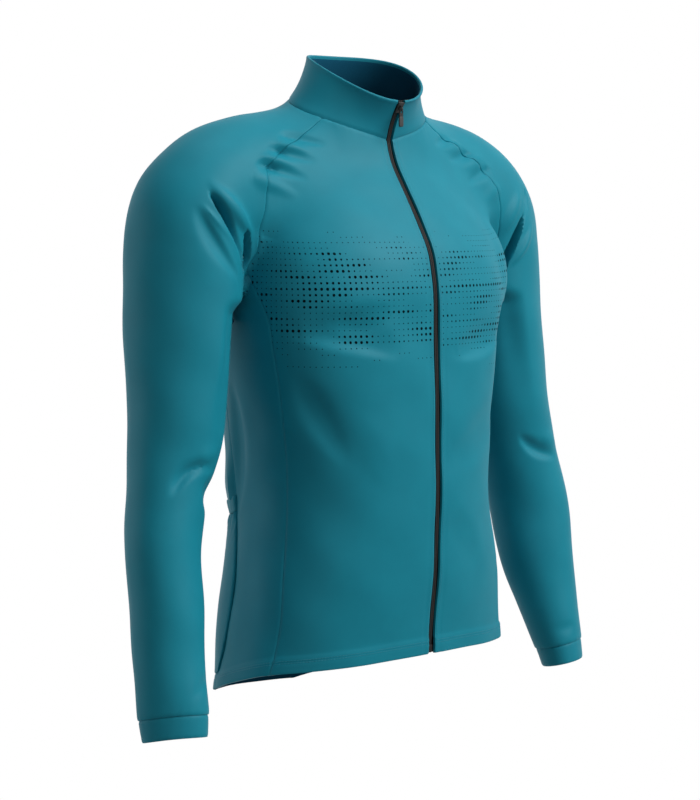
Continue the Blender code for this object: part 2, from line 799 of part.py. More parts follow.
def make_sleeves():
    """From the armhole down to the cuff, and the cuff's band below it."""
    loop = sleeve_loop()
    count = len(loop)
    first_ring = sleeve_rings([SLEEVE_STATION_BELOW_ARMPIT], count)[0]
    station, turn, reach, slide = sleeve_polar(loop)
    turn[0] = 0
    even = np.linspace(0, 2 * np.pi, count, endpoint=False)
    last_reach = np.linalg.norm(first_ring - sleeve_centre(SLEEVE_STATION_BELOW_ARMPIT), axis=-1)
    share = np.linspace(0, 1, YOKE_ROWS + 1)[:, None]
    smooth = share**2 * (3 - 2 * share)
    yoke = round_sleeve(
        station * (1 - share) + SLEEVE_STATION_BELOW_ARMPIT * share,
        turn * (1 - smooth) + even * smooth,
        reach * (1 - share) + last_reach * share,
        slide * (1 - share) ** 2,
    )
    yoke = settled(yoke)
    yoke[0], yoke[-1] = loop, first_ring
    cuff_seam = cuff_station(CUFF_HEIGHT)
    stations = np.linspace(SLEEVE_STATION_BELOW_ARMPIT, cuff_seam, ARM_ROWS + 1)[1:]
    grid = np.concatenate([yoke, sleeve_rings(stations, count)])
    both_sides("sleeve", grid, form_normal(grid), KNIT, TEAL, closed=True)
    band = sleeve_rings(np.linspace(cuff_seam, cuff_station(0), 3), count)
    normals = form_normal(band)
    both_sides("cuff", band - normals * CUFF_STEP, normals, TURNED, TEAL_CUFF, closed=True)


def rim_point(turn):
    turn = np.radians(np.asarray(turn, float))
    height = RIM_HEIGHT - RIM_TILT * np.cos(turn) - RIM_SADDLE * np.cos(2 * turn)
    return np.stack(
        [RIM_HALF_WIDTH * np.sin(turn), RIM_CENTRE_Y - RIM_HALF_DEPTH * np.cos(turn), height], -1
    )


def collar_rows(turns, shares):
    """Rows of the collar's outer face from the neck seam to the rim, slightly hollow."""
    foot, rim = neck_line(turns), rim_point(turns)
    out = unit(foot * np.array([1, 1, 0]) - np.array([0, NECK_CENTRE_Y, 0]))
    share = np.asarray(shares, float)[:, None, None]
    hollow = 4 * share * (1 - share) * COLLAR_HOLLOW
    return foot * (1 - share) + rim * share - out * hollow


def grid_normal(grid):
    """Normals of a grid whose rows rise and whose columns run round from the front."""
    up = np.gradient(grid, axis=0)
    along = np.gradient(grid, axis=1)
    return unit(np.cross(along, up))


def make_collar():
    """A stand of two layers, folded over at its rim."""
    front = front_columns(FRONT_RAGLAN_TURN, NECK_RADIUS)
    shoulder = np.linspace(FRONT_RAGLAN_TURN, BACK_RAGLAN_TURN, SHOULDER_COLUMNS + 1)
    nape = np.linspace(BACK_RAGLAN_TURN, 180, BACK_HALF_COLUMNS + 1)
    turns = np.r_[front, shoulder[1:], nape[1:]]
    half = collar_rows(turns, COLLAR_SHARES)
    outer = np.concatenate([half, mirrored(half[:, -2::-1])], axis=1)
    normals = grid_normal(outer)
    normals[0] = form_normal(outer[0])
    up = unit(np.gradient(outer, axis=0))
    outer = inset(outer, normals, SEAM_GAP / 2, False)
    inner = outer - normals * TURNED
    crown = (outer[-1] + inner[-1]) / 2 + up[-1] * RIM_RISE
    lip = normals[-1] * RIM_FLAT
    outer = np.concatenate([outer, (crown + lip)[None]])
    inner = np.concatenate([inner, (crown - lip)[None]])
    points = np.concatenate([outer.reshape(-1, 3), inner.reshape(-1, 3)])
    mesh = mesh_of("collar", points, wall_faces(points, *outer.shape[:2], False))
    add_object("collar", mesh, TEAL_COLLAR)


def zip_grid(across):
    """The outer face at distances from the middle, up to the rim, and its normals."""
    heights = front_rows_at_zip()[:-1]
    fronts = np.stack([struck_ahead(np.full(len(heights), x), heights) for x in across], axis=1)
    stand = collar_rows(np.degrees(np.arcsin(across / NECK_RADIUS)), COLLAR_SHARES)
    normals = np.concatenate([form_normal(fronts), form_normal(stand[:1]), grid_normal(stand)[1:]])
    stand[..., 0] = across
    level = across < CHAIN_HALF_WIDTH + SEAM_GAP
    normals[:, level, 0] = 0
    return np.concatenate([fronts, stand]), unit(normals)


def make_zip():
    """Two tapes behind the fronts' edges, and the closed coil over their meeting edges."""
    across = np.array([SEAM_GAP / 2, ZIP_EDGE, (ZIP_EDGE + TAPE_HALF_WIDTH) / 2, TAPE_HALF_WIDTH])
    grid, normals = zip_grid(across)
    face = grid - normals * TAPE_DEPTH
    for side, name in ((1, "left"), (-1, "right")):
        flip = np.array([side, 1, 1])
        cloth(f"zip_tape_{name}", face * flip, normals * flip, TAPE_THICKNESS, BLACK_TAPE, gap=0)
    half, normals = zip_grid(np.array([0, CHAIN_HALF_WIDTH]))
    grid, normals = (
        np.concatenate([mirrored(part[:, :0:-1]), part], axis=1) for part in (half, normals)
    )
    coil = grid - normals * CHAIN_TOP_DEPTH
    thickness = TAPE_DEPTH - SEAM_GAP - CHAIN_TOP_DEPTH
    cloth("zip_coil", coil, normals, thickness, GREY_COIL, gap=0)


def boxed(name, size, bevel):
    """A box with rounded edges, as a mesh about its middle."""
    work = bmesh.new()
    bmesh.ops.create_cube(work, size=1)
    bmesh.ops.scale(work, vec=size, verts=work.verts)
    bmesh.ops.bevel(
        work, geom=list(work.edges), offset=bevel, segments=2, affect="EDGES", profile=0.5
    )
    mesh = bpy.data.meshes.new(name)
    work.to_mesh(mesh)
    work.free()
    return mesh


def bail_mesh():
    """A strap bent over the pull's bar, with its feet in the slider. Z is off the face."""
    turn = np.radians(np.linspace(-90, 90, 13))
    rows = []
    for radius in (BAIL_RADIUS + BAIL_THICKNESS, BAIL_RADIUS):
        arch = np.stack([0 * turn, radius * np.sin(turn), radius * np.cos(turn)], -1)
        feet = arch[[0, -1]] - np.array([0, 0, PIVOT_HEIGHT + BAIL_SINK])
        line = np.vstack([feet[:1], arch, feet[1:]])
        edge = np.array([BAIL_WIDTH / 2, 0, 0])
        rows.append(np.stack([line - edge, line + edge], axis=1))
    points = np.concatenate([grid.reshape(-1, 3) for grid in rows])
    return mesh_of("bail", points, wall_faces(points, *rows[0].shape[:2], False))


def slider_frame():
    """The slider's middle on the collar's face, and the tilt of its face about X."""
    low, middle, high = collar_rows([0.0], [SLIDER_PLACE - 0.1, SLIDER_PLACE, SLIDER_PLACE + 0.1])[:, 0]
    up = unit(high - low)
    outward = np.array([0, -up[2], up[1]])
    return middle, up, outward


def make_slider():
    """The slider's body and bail at the top of the zip. Its local Y runs up the zip."""
    middle, up, outward = slider_frame()
    body_middle = (SLIDER_THICKNESS / 2 - SLIDER_DEPTH) * outward
    tilt = np.arctan2(up[2], up[1])
    plate = boxed("zip_slider", (SLIDER_WIDTH, SLIDER_LENGTH, SLIDER_THICKNESS), SLIDER_BEVEL)
    slider = add_object("zip_slider", plate, BLACK_METAL, middle + body_middle)
    slider.rotation_euler = (tilt, 0, 0)
    bail = bpy.data.objects.new("bail", bail_mesh())
    helpers.objects.link(bail)
    bail.parent = slider
    bail.location = (0, 0, SLIDER_THICKNESS / 2 + PIVOT_HEIGHT)
    bail.hide_render = True
    bail.display_type = "WIRE"
    union = slider.modifiers.new("Bail", "BOOLEAN")
    union.operation = "UNION"
    union.object = bail
    return middle + outward * (SLIDER_THICKNESS - SLIDER_DEPTH + PIVOT_HEIGHT)


def outline_spline(curve, corners):
    spline = curve.splines.new("POLY")
    spline.points.add(len(corners) - 1)
    for point, (x, y) in zip(spline.points, corners):
        point.co = (x, y, 0, 1)
    spline.use_cyclic_u = True


def rounded_end(width, length, start, steps=9):
    """An outline from start down to a round end."""
    turn = np.linspace(0, np.pi, steps)
    arc = [(width / 2 * np.cos(a), -(length - width / 2) - width / 2 * np.sin(a)) for a in turn]
    return [(-width / 2, start), (width / 2, start)] + arc


def make_pull(pivot):
    """The pull tab with its bar in the bail, hanging straight down from the pivot."""
    curve = bpy.data.curves.new("pull_outline", "CURVE")
    curve.dimensions = "2D"
    curve.fill_mode = "BOTH"
    curve.extrude = PULL_THICKNESS / 2
    outline_spline(curve, rounded_end(PULL_WIDTH, PULL_LENGTH, PULL_BAR / 2))
    side = PULL_WIDTH / 2 - PULL_BAR
    low = -PULL_BAR / 2 - WINDOW_LENGTH
    window = [(-side, -PULL_BAR / 2), (-side, low), (side, low), (side, -PULL_BAR / 2)]
    outline_spline(curve, window)
    sketch = bpy.data.objects.new("pull_sketch", curve)
    helpers.objects.link(sketch)
    graph = bpy.context.evaluated_depsgraph_get()
    mesh = bpy.data.meshes.new_from_object(sketch.evaluated_get(graph))
    mesh.name = "zip_pull"
    bpy.data.objects.remove(sketch)
    work = bmesh.new()
    work.from_mesh(mesh)
    bmesh.ops.remove_doubles(work, verts=work.verts, dist=0.01 * MM)
    bmesh.ops.recalc_face_normals(work, faces=work.faces)
    work.to_mesh(mesh)
    work.free()
    pull = add_object("zip_pull", mesh, GREY_PULL, pivot)
    pull.rotation_euler = (np.pi / 2, 0, 0)


for old in list(bpy.data.objects):
    bpy.data.objects.remove(old)
jacket = bpy.data.collections.new("cycling_jacket")
helpers = bpy.data.collections.new("helpers")
bpy.context.scene.collection.children.link(jacket)
bpy.context.scene.collection.children.link(helpers)

make_fronts()
make_sides()
make_back()
make_pocket()
make_sleeves()
make_collar()
make_zip()
pivot = make_slider()
make_pull(pivot)
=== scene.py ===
import json

import bpy
import numpy as np
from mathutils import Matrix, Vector


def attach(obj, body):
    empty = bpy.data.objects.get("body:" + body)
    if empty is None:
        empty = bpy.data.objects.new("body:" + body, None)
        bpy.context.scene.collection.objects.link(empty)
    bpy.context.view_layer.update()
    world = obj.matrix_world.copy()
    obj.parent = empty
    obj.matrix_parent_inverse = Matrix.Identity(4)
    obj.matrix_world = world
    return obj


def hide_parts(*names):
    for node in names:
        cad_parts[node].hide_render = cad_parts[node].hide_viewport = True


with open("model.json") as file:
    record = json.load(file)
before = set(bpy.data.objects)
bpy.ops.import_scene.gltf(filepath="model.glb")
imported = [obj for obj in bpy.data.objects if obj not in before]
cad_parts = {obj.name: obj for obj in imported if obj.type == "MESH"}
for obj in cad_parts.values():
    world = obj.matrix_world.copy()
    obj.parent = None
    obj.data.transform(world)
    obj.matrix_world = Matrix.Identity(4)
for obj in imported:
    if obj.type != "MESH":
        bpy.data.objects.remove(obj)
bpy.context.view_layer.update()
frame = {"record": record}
mm = 0.001
print("frame loaded")


# small helpers for tables, curves and directions

def columnsOf(names, rows):
    return dict(zip(names.split(), np.array(rows, float).T))


def curveThrough(stations, values):
    # smooth curve through the rows of a table, as a function of the station
    stations = np.asarray(stations, float)
    values = np.asarray(values, float)
    extra = (1,) * (values.ndim - 1)
    step = np.diff(stations).reshape((-1,) + extra)
    slope = np.diff(values, axis=0) / step
    tangent = np.empty_like(values)
    tangent[0], tangent[-1] = slope[0], slope[-1]
    tangent[1:-1] = (slope[:-1] * step[1:] + slope[1:] * step[:-1]) / (step[:-1] + step[1:])

    def at(where):
        where = np.clip(np.asarray(where, float), stations[0], stations[-1])
        row = np.clip(np.searchsorted(stations, where, side="right") - 1, 0, len(stations) - 2)
        gap = stations[row + 1] - stations[row]
        share = ((where - stations[row]) / gap).reshape(where.shape + extra)
        gap = gap.reshape(where.shape + extra)
        rest = 1 - share
        ends = values[row] * (1 + 2 * share) * rest**2 + values[row + 1] * share**2 * (3 - 2 * share)
        return ends + gap * (tangent[row] * share * rest**2 - tangent[row + 1] * share**2 * rest)

    return at


def unit(vectors):
    return vectors / np.maximum(np.linalg.norm(vectors, axis=-1, keepdims=True), 1e-12)


def smoothStep(low, high, value):
    share = np.clip((value - low) / (high - low), 0, 1)
    return share**2 * (3 - 2 * share)


def runAlong(points):
    # distance along a line of points, from its first
    return np.r_[0, np.cumsum(np.linalg.norm(np.diff(points, axis=0), axis=1))]


def evenly(points, count):
    run = runAlong(points)
    return curveThrough(run, points)(np.linspace(0, run[-1], count + 1))


# the form that all the panels lie on, the same as the solids' form

trunk = {
    "columns": "height halfWidth frontDepth backDepth frontCorner backCorner",  # mm
    "sections": (
        (-680, 171, 107, 107, 2.4, 2.1), (-600, 170, 107, 105, 2.4, 2.12),
        (-540, 163, 109, 102, 2.45, 2.05), (-460, 150, 117, 100, 2.5, 1.93),
        (-420, 143.5, 119, 101, 2.42, 1.95), (-400, 140.5, 120, 105, 2.38, 2.05),
        (-375, 139, 120.5, 112, 2.36, 2.22), (-345, 139.5, 120, 116, 2.39, 2.32),
        (-300, 143, 119.5, 118, 2.5, 2.27), (-220, 153, 117, 124, 2.7, 2.2),
        (-170, 157, 115, 128, 2.55, 2.2), (-140, 156, 108, 126, 2.38, 2.2),
        (-110, 147, 91.5, 120, 2.28, 2.2), (-80, 131, 72, 108, 2.18, 2.1),
        (-50, 106, 53.5, 90, 2.15, 2.1), (-20, 82, 46.5, 75, 2.1, 2.1),
        (10, 69, 47, 64, 2.0, 2.0), (40, 64, 49, 56, 2.0, 2.0), (70, 62, 50, 52, 2.0, 2.0),
    ),
    "neckCentre": 7 * mm,
    "neck": ((0, -30), (45, -17.5), (70, -5.5), (90, 6), (135, 15), (180, 16.5)),  # turn, height
    "hem": ((0, -543), (35, -545), (60, -549), (75, -554), (90, -566), (107, -583),
            (130, -592), (180, -602)),
    "sideSeams": (  # height, front edge aft, back edge aft
        (-620, -40, 44), (-570, -42, 36), (-535, -48, 24), (-500, -51, 19), (-460, -49, 20),
        (-420, -46, 30), (-385, -44, 36), (-340, -43, 41), (-290, -43, 48), (-235, -41, 49),
        (-205, -38, 47), (-171, -20, 42),
    ),
    "sideFoot": -560 * mm,
    "frontArmpit": -190 * mm,
    "backArmpit": -185 * mm,
    "pocketReach": 181 * mm,  # from the hem to the top of the pocket's elastic
}

arm = {
    "columns": "station across aft height halfNarrow halfWide",  # mm
    "sections": (
        (0, 60, 20, -42, 34, 34), (1, 105, 21, -48, 45, 47), (2, 160, 22, -67, 53, 54),
        (3, 197, 23, -100, 58, 59), (4, 209.5, 19.5, -145, 55, 59), (5, 218.5, 13, -220, 48, 56.5),
        (6, 226.5, 10, -300, 47, 48.5), (7, 240.3, 7, -364, 44, 40.6),
        (8, 252.5, -1, -420, 43.5, 36.8), (9, 256, -11, -480, 40.5, 36),
        (10, 261.5, -21, -526, 34, 34.5), (11, 267, -34, -575, 26.5, 34.3),
        (12, 269, -40, -600, 23.5, 32.5),
    ),
    "turn": np.radians(-45),
    "blend": ((-700, 6), (-200, 6), (-175, 6), (-140, 28), (-105, 50), (-80, 50), (100, 50)),
    "frontRaglan": (
        (98, -28, -25), (128, -30, -43), (148, -32, -60), (158, -34, -82), (162, -35, -104),
        (165, -32, -133), (165, -24, -155), (160, -20, -171),
    ),
    "backRaglan": (
        (84, 56, -2), (112, 68, -22), (134, 76, -46), (150, 80, -74), (159, 78, -102),
        (163, 68, -130), (164, 55, -154), (160, 42, -172),
    ),
    "underarm": ((159, 0, -184), (159, 13, -188), (159, 28, -184)),
    "frontTurn": 65,  # degrees round the neck from the zip
    "backTurn": 118,
    "ringStation": 5.0,
    "cuffHeight": 21 * mm,
    "cuffStep": 1 * mm,
}

body = columnsOf(trunk["columns"], trunk["sections"])
bodySection = curveThrough(body["height"] * mm, np.column_stack([
    body["halfWidth"] * mm, body["frontDepth"] * mm, body["backDepth"] * mm,
    body["frontCorner"], body["backCorner"]]))
tube = columnsOf(arm["columns"], arm["sections"])
sleeveCentre = curveThrough(
    tube["station"], np.column_stack([tube[k] * mm for k in ("across", "aft", "height")]))
sleeveHalf = curveThrough(
    tube["station"], np.column_stack([tube[k] * mm for k in ("halfNarrow", "halfWide")]))
lastStation = tube["station"][-1]
stations = np.linspace(0, lastStation, 121)
centres = sleeveCentre(stations)


def tableCurve(rows, column=1, unitOf=1.0):
    rows = np.array(rows, float)
    return curveThrough(rows[:, 0] * unitOf, rows[:, column] * mm)


blendRadius = tableCurve(arm["blend"], unitOf=mm)
neckHeight = tableCurve(trunk["neck"])
hemHeight = tableCurve(trunk["hem"])
sideAft = {"front": tableCurve(trunk["sideSeams"], 1, mm), "back": tableCurve(trunk["sideSeams"], 2, mm)}


def sleeveAxes(station):
    along = unit(sleeveCentre(station + 0.001) - sleeveCentre(station - 0.001))
    aft = np.zeros_like(along)
    aft[..., 1] = 1
    aft = unit(aft - (aft * along).sum(-1, keepdims=True) * along)
    return along, aft, np.cross(along, aft)


def nearestStation(points):
    gaps = ((points**2).sum(-1)[:, None] - 2 * points @ centres.T) + (centres**2).sum(-1)
    near = np.clip(gaps.argmin(1), 1, len(stations) - 2)
    row = np.arange(len(points))
    before, here, after = gaps[row, near - 1], gaps[row, near], gaps[row, near + 1]
    shift = np.clip(0.5 * (before - after) / np.maximum(before - 2 * here + after, 1e-12), -1, 1)
    return np.clip((near + shift) * stations[1], 0, lastStation)


def sleeveDistance(points):
    station = nearestStation(points)
    offset = points - sleeveCentre(station)
    along, aft, out = sleeveAxes(station)
    narrow = np.cos(arm["turn"]) * out + np.sin(arm["turn"]) * aft
    wide = -np.sin(arm["turn"]) * out + np.cos(arm["turn"]) * aft
    half = sleeveHalf(station)
    scaled = np.sqrt(
        ((offset * narrow).sum(-1) / half[:, 0]) ** 2
        + ((offset * wide).sum(-1) / half[:, 1]) ** 2
        + ((offset * along).sum(-1) / half.min(-1)) ** 2)
    return np.linalg.norm(offset, axis=-1) * (1 - 1 / (scaled + 1e-9))


def sectionDistance(points):
    row = bodySection(points[:, 2])
    ahead = points[:, 1] < 0
    depth = np.where(ahead, row[:, 1], row[:, 2])
    corner = np.where(ahead, row[:, 3], row[:, 4])
    wide, deep = np.abs(points[:, 0]) / row[:, 0], np.abs(points[:, 1]) / depth
    scaled = (wide**corner + deep**corner) ** (1 / corner) + 1e-9
    return np.hypot(points[:, 0], points[:, 1]) * (1 - 1 / scaled)


def bodyDistance(points):
    step = np.array([0, 0, 2 * mm])
    level = sectionDistance(points)
    slope = (sectionDistance(points + step) - level) / step[2]
    return level / np.sqrt(1 + np.clip(slope, -3, 3) ** 2)


def form(points):
    # nothing on the cloth's outer face, more outside it and less inside
    shape = points.shape[:-1]
    points = points.reshape(-1, 3) * 1.0
    points[:, 0] = np.abs(points[:, 0])
    sleeve, torso = sleeveDistance(points), bodyDistance(points)
    radius = blendRadius(points[:, 2])
    share = np.clip(0.5 + 0.5 * (sleeve - torso) / radius, 0, 1)
    return (sleeve * (1 - share) + torso * share - radius * share * (1 - share)).reshape(shape)


def formSlope(points, reach):
    return np.stack([form(points + reach * a) - form(points - reach * a) for a in np.eye(3)], -1)


def formNormal(points):
    return unit(formSlope(points, 1.5 * mm))


def settled(points, times=5):
    for _ in range(times):
        slope = formSlope(points, 1 * mm) / (2 * mm)
        steep = np.maximum((slope**2).sum(-1, keepdims=True), 0.2)
        points = points - form(points)[..., None] * slope / steep
    return points


def struck(start, direction):
    # where a straight line from inside the form first leaves it
    reach = np.linspace(20 * mm, 200 * mm, 46)
    along = start[:, None, :] + reach[None, :, None] * direction[:, None, :]
    first = np.maximum((form(along) > 0).argmax(1), 1)
    low, high = reach[first - 1], reach[first]
    for _ in range(20):
        middle = (low + high) / 2
        out = form(start + middle[:, None] * direction) > 0
        low, high = np.where(out, low, middle), np.where(out, middle, high)
    return start + low[:, None] * direction


def struckRound(turn, height, centreY):
    turn = np.radians(np.asarray(turn, float))
    start = np.stack([0 * turn, 0 * turn + centreY, height + 0 * turn], -1)
    return struck(start, np.stack([np.sin(turn), -np.cos(turn), 0 * turn], -1))


def struckAhead(across, height):
    start = np.stack([across, 0 * across, height], -1)
    return struck(start, np.broadcast_to([0.0, -1.0, 0.0], start.shape))


def struckBeside(aft, height):
    start = np.stack([0 * aft + 40 * mm, aft, height], -1)
    return struck(start, np.broadcast_to([1.0, 0.0, 0.0], start.shape))


def turnOf(points):
    return np.degrees(np.arctan2(points[..., 0], -points[..., 1]))


def neckLine(turns):
    return struckRound(turns, neckHeight(np.asarray(turns, float)), trunk["neckCentre"])


def hemLine(turns):
    return struckRound(turns, hemHeight(np.asarray(turns, float)), 0.0)


# seams of the +X side

counts = {"pocket": 30, "upper": 36, "raglan": 32, "front": 24, "side": 16, "back": 24, "shoulder": 12}


def rowHeights(foot, armpit):
    lower = foot + np.linspace(0, trunk["pocketReach"], counts["pocket"] + 1)
    return np.r_[lower, np.linspace(lower[-1], armpit, counts["upper"] + 1)[1:]]


def raglanLine(neckTurn, rows):
    guide = np.vstack([neckLine([neckTurn]), np.array(rows) * mm])
    line = settled(evenly(guide, counts["raglan"]))
    line[0] = guide[0]
    return line[::-1]


def sideLine(edge, topPoint):
    footAft = sideAft[edge](trunk["sideFoot"])
    footTurn = turnOf(struckBeside(np.array([footAft]), np.array([trunk["sideFoot"]])))
    heights = rowHeights(hemHeight(footTurn)[0], topPoint[2])
    line = struckBeside(sideAft[edge](heights), heights)
    line[-1] = topPoint
    return line


frontRaglan = raglanLine(arm["frontTurn"], arm["frontRaglan"])
backRaglan = raglanLine(arm["backTurn"], arm["backRaglan"])
underarm = settled(evenly(
    np.vstack([frontRaglan[0], np.array(arm["underarm"]) * mm, backRaglan[0]]), counts["side"]))
underarm[0], underarm[-1] = frontRaglan[0], backRaglan[0]
sideFront = sideLine("front", frontRaglan[0])
sideBack = sideLine("back", backRaglan[0])


def panelGrid(first, last, foot, head):
    # a grid between four seams, blended in turn, height and reach, and settled on the form
    def rounded(points):
        return np.stack(
            [turnOf(points), points[..., 2], np.hypot(points[..., 0], points[..., 1])], -1)

    a, b, c, d = (rounded(line) for line in (first, last, foot, head))
    rise = np.linspace(0, 1, len(first))[:, None, None]
    share = np.linspace(0, 1, len(foot))[None, :, None]
    sides = a[:, None] * (1 - share) + b[:, None] * share
    ends = c[None] * (1 - rise) + d[None] * rise
    corners = (c[0] * (1 - share) + c[-1] * share) * (1 - rise)
    corners = corners + (d[0] * (1 - share) + d[-1] * share) * rise
    turn, height, reach = np.moveaxis(sides + ends - corners, -1, 0)
    turn = np.radians(turn)
    grid = settled(np.stack([reach * np.sin(turn), -reach * np.cos(turn), height], -1))
    grid[:, 0], grid[:, -1], grid[0], grid[-1] = first, last, foot, head
    return grid


# creases: troughs draw the cloth in, and ridges, whose depth is below nothing, lift it
creases = {
    # side is the wearer's, 1 left, -1 right, 0 both; then start, middle and end as across, aft
    # and height, the half width, the depth, and how much wider the upper or outer slope is
    "rows": (
        # right armpit: a deep fold with a round ridge above and a thin lip below, and a second fold
        (-1, 214, -28, -85, 198, -32, -113, 173, -24, -156, 4.3, 30, 0.2),
        (-1, 211, -28, -76, 190, -35, -99, 168, -30, -120, 7.5, -5, 0),
        (-1, 223, -29, -96, 203, -33, -120, 176, -25, -150, 3.2, -3, 0),
        (-1, 172, -30, -120, 169, -27, -138, 166, -21, -160, 3.7, 18, 0),
        (-1, 229, -28, -100, 215, -35, -128, 188, -35, -162, 7, 4, -0.3),
        # left armpit: one deep fold with a long thin tail
        (1, 220, -26, -80, 210, -31, -104, 190, -33, -146, 3.4, 5, 0),
        (1, 208, -32, -104, 194, -34, -134, 175, -28, -172, 4.0, 30, 0.1),
        (1, 222, -33, -117, 207, -37, -139, 190, -35, -158, 4.5, -3, 0),
        (1, 206, -28, -80, 190, -34, -104, 172, -34, -132, 7, -3, 0),
        # the chest stands out beside the left armpit, and draws in sharply below it
        (1, 148, -40, -46, 150, -61, -118, 134, -76, -200, 26, -9.5, 0),
        (1, 134, -76, -194, 127, -80, -250, 114, -82, -350, 25, 8.5, 0),
        (1, 116, -81, -318, 115, -80, -385, 123, -79, -460, 24, 4, 0),
        # behind both
        (-1, 213, 72, -86, 195, 77, -118, 170, 56, -157, 6, 12, 0.3),
        (-1, 186, 79, -92, 176, 74, -120, 166, 56, -156, 5, 7, 0),
        (-1, 203, 76, -82, 186, 80, -102, 170, 76, -124, 8, -3, 0),
        (1, 209, 74, -92, 190, 75, -125, 169, 52, -160, 5.5, 13, 0.3),
        (1, 190, 80, -84, 182, 79, -104, 172, 72, -132, 5.5, 5, 0),
        (1, 228, 60, -104, 212, 70, -130, 190, 62, -164, 7, 4, -0.3),
        # puckers across the front raglan seams, with rounds of cloth between them
        (-1, 122, -21, -27, 108, -25, -28, 80, -36, -34, 5, 3.2, 0),
        (-1, 141, -26, -40, 127, -30, -42, 96, -39, -51, 5.4, 3.2, 0),
        (-1, 158, -30, -56, 142, -33, -58, 110, -42, -68, 5.4, 3.4, 0),
        (-1, 134, -27, -33, 118, -31, -36, 98, -36, -42, 5, -2.4, 0),
        (-1, 152, -28, -48, 136, -33, -50, 114, -39, -57, 5, -2.6, 0),
        (-1, 166, -33, -68, 150, -37, -72, 124, -44, -84, 7, -2.8, 0),
        (-1, 132, -28, -41, 127, -30, -42, 119, -32, -44, 3.2, 2.2, 0),
        (-1, 147, -31, -56, 142, -33, -58, 133, -35, -60, 3.4, 2.6, 0),
        (1, 104, -25, -27, 93, -29, -28, 76, -36, -33, 5, 2.6, 0),
        (1, 132, -26, -40, 122, -31, -43, 94, -37, -49, 5.2, 3.8, 0),
        (1, 160, -30, -58, 147, -33, -61, 118, -43, -71, 5.6, 4, 0),
        (1, 121, -23, -32, 108, -29, -34, 88, -35, -39, 6, -2.4, 0),
        (1, 149, -26, -46, 136, -32, -50, 114, -39, -57, 6.5, -2.6, 0),
        (1, 172, -32, -76, 158, -37, -82, 138, -45, -92, 8, -2.2, 0),
        # the same behind
        (-1, 124, 66, -14, 108, 70, -16, 84, 80, -24, 5.5, 2.6, 0),
        (-1, 148, 72, -40, 132, 78, -42, 104, 90, -52, 6, 3.2, 0),
        (1, 112, 62, -8, 98, 68, -11, 72, 78, -18, 5.5, 2.4, 0),
        (1, 140, 70, -30, 124, 76, -33, 98, 88, -42, 6, 3.4, 0),
        (1, 158, 74, -62, 144, 82, -64, 118, 94, -76, 6.5, 2.8, 0),
        # elbows
        (-1, 262, -30, -366, 243, -33, -347, 212, -24, -348, 6, 5.5, 0.4),
        (-1, 226, -34, -364, 211, -22, -373, 202, 2, -380, 13, 5, 0),
        (-1, 236, -35, -338, 224, -33, -332, 208, -22, -330, 8, -1.6, 0),
        (1, 214, -28, -348, 232, -33, -362, 258, -33, -370, 6.5, 5.6, 0.3),
        (1, 240, -34, -346, 252, -33, -352, 266, -28, -358, 8, -2, 0),
        (-1, 262, 42, -352, 240, 47, -362, 218, 42, -368, 8, 3, 0),
        (1, 266, 40, -344, 244, 47, -350, 222, 44, -362, 9, 2.8, 0),
        (1, 258, 42, -372, 242, 45, -378, 226, 42, -384, 7, 2, 0),
        # above the cuffs
        (-1, 262, -62, -556, 250, -58, -548, 240, -44, -545, 6, 1.4, 0),
        (1, 264, -62, -552, 252, -58, -558, 241, -44, -560, 6, 1.4, 0),
        # the side, drawn in above the pocket
        (-1, 141, 28, -280, 137, 24, -338, 136, 30, -396, 11, 4, 0),
        (1, 141, 30, -270, 137, 25, -330, 136, 30, -380, 11, 3.4, 0),
        # the front, slow dips below the chest and at the waist
        (-1, 138, -72, -219, 106, -99, -220, 58, -114, -236, 17, 5.5, 0.4),
        (-1, 112, -94, -208, 84, -108, -206, 58, -113, -198, 14, 3, 0),
        (1, 104, -98, -228, 70, -112, -234, 30, -117, -242, 15, 4.6, 0.4),
        (1, 104, -96, -300, 70, -111, -326, 20, -118, -352, 20, 2.6, 0),
        (-1, 134, -64, -266, 124, -78, -296, 104, -96, -340, 14, 3.4, 0),
        (-1, 96, -102, -300, 76, -110, -330, 62, -114, -366, 18, -1.6, 0),
        (1, 20, -118, -400, 40, -117, -430, 66, -110, -458, 16, 1.2, 0),
        # the back, long soft ones from the shoulder blades to the waist
        (-1, 120, 92, -240, 92, 108, -268, 56, 117, -288, 13, 2.6, 0.3),
        (1, 126, 90, -250, 98, 105, -282, 64, 114, -306, 13, 2.8, 0.3),
        (-1, 104, 96, -322, 82, 104, -340, 50, 112, -350, 10, 2.4, 0),
        (1, 112, 92, -334, 84, 104, -346, 52, 111, -362, 10, 2.2, 0),
        (1, 30, 119, -306, 8, 119, -326, -16, 119, -336, 11, 1.6, 0),
    ),
}


# how the seams slip over the form: side, across, aft, height, reach, and the way they move
slips = (
    (-1, 162, -34, -92, 30, -8, -5, 0),
    (-1, 160, -30, -140, 24, -6, -5, 0),
    (1, 160, -34, -96, 30, 11, 0, 0),
    (1, 165, -30, -136, 24, 7, 0, 0),
)


def slipped(points):
    # points carried over the form to where the worn seams lie
    moved = np.zeros_like(points)
    for side, across, aft, height, reach, *way in slips:
        far = np.linalg.norm(points - np.array([across * side, aft, height]) * mm, axis=-1)
        moved += np.exp(-((far / reach / mm) ** 2))[..., None] * np.array(way) * [side, 1, 1] * mm
    some = np.abs(moved).max(-1) > 0.05 * mm
    result = points.copy()
    if some.any():
        result[some] = settled(points[some] + moved[some])
    return result


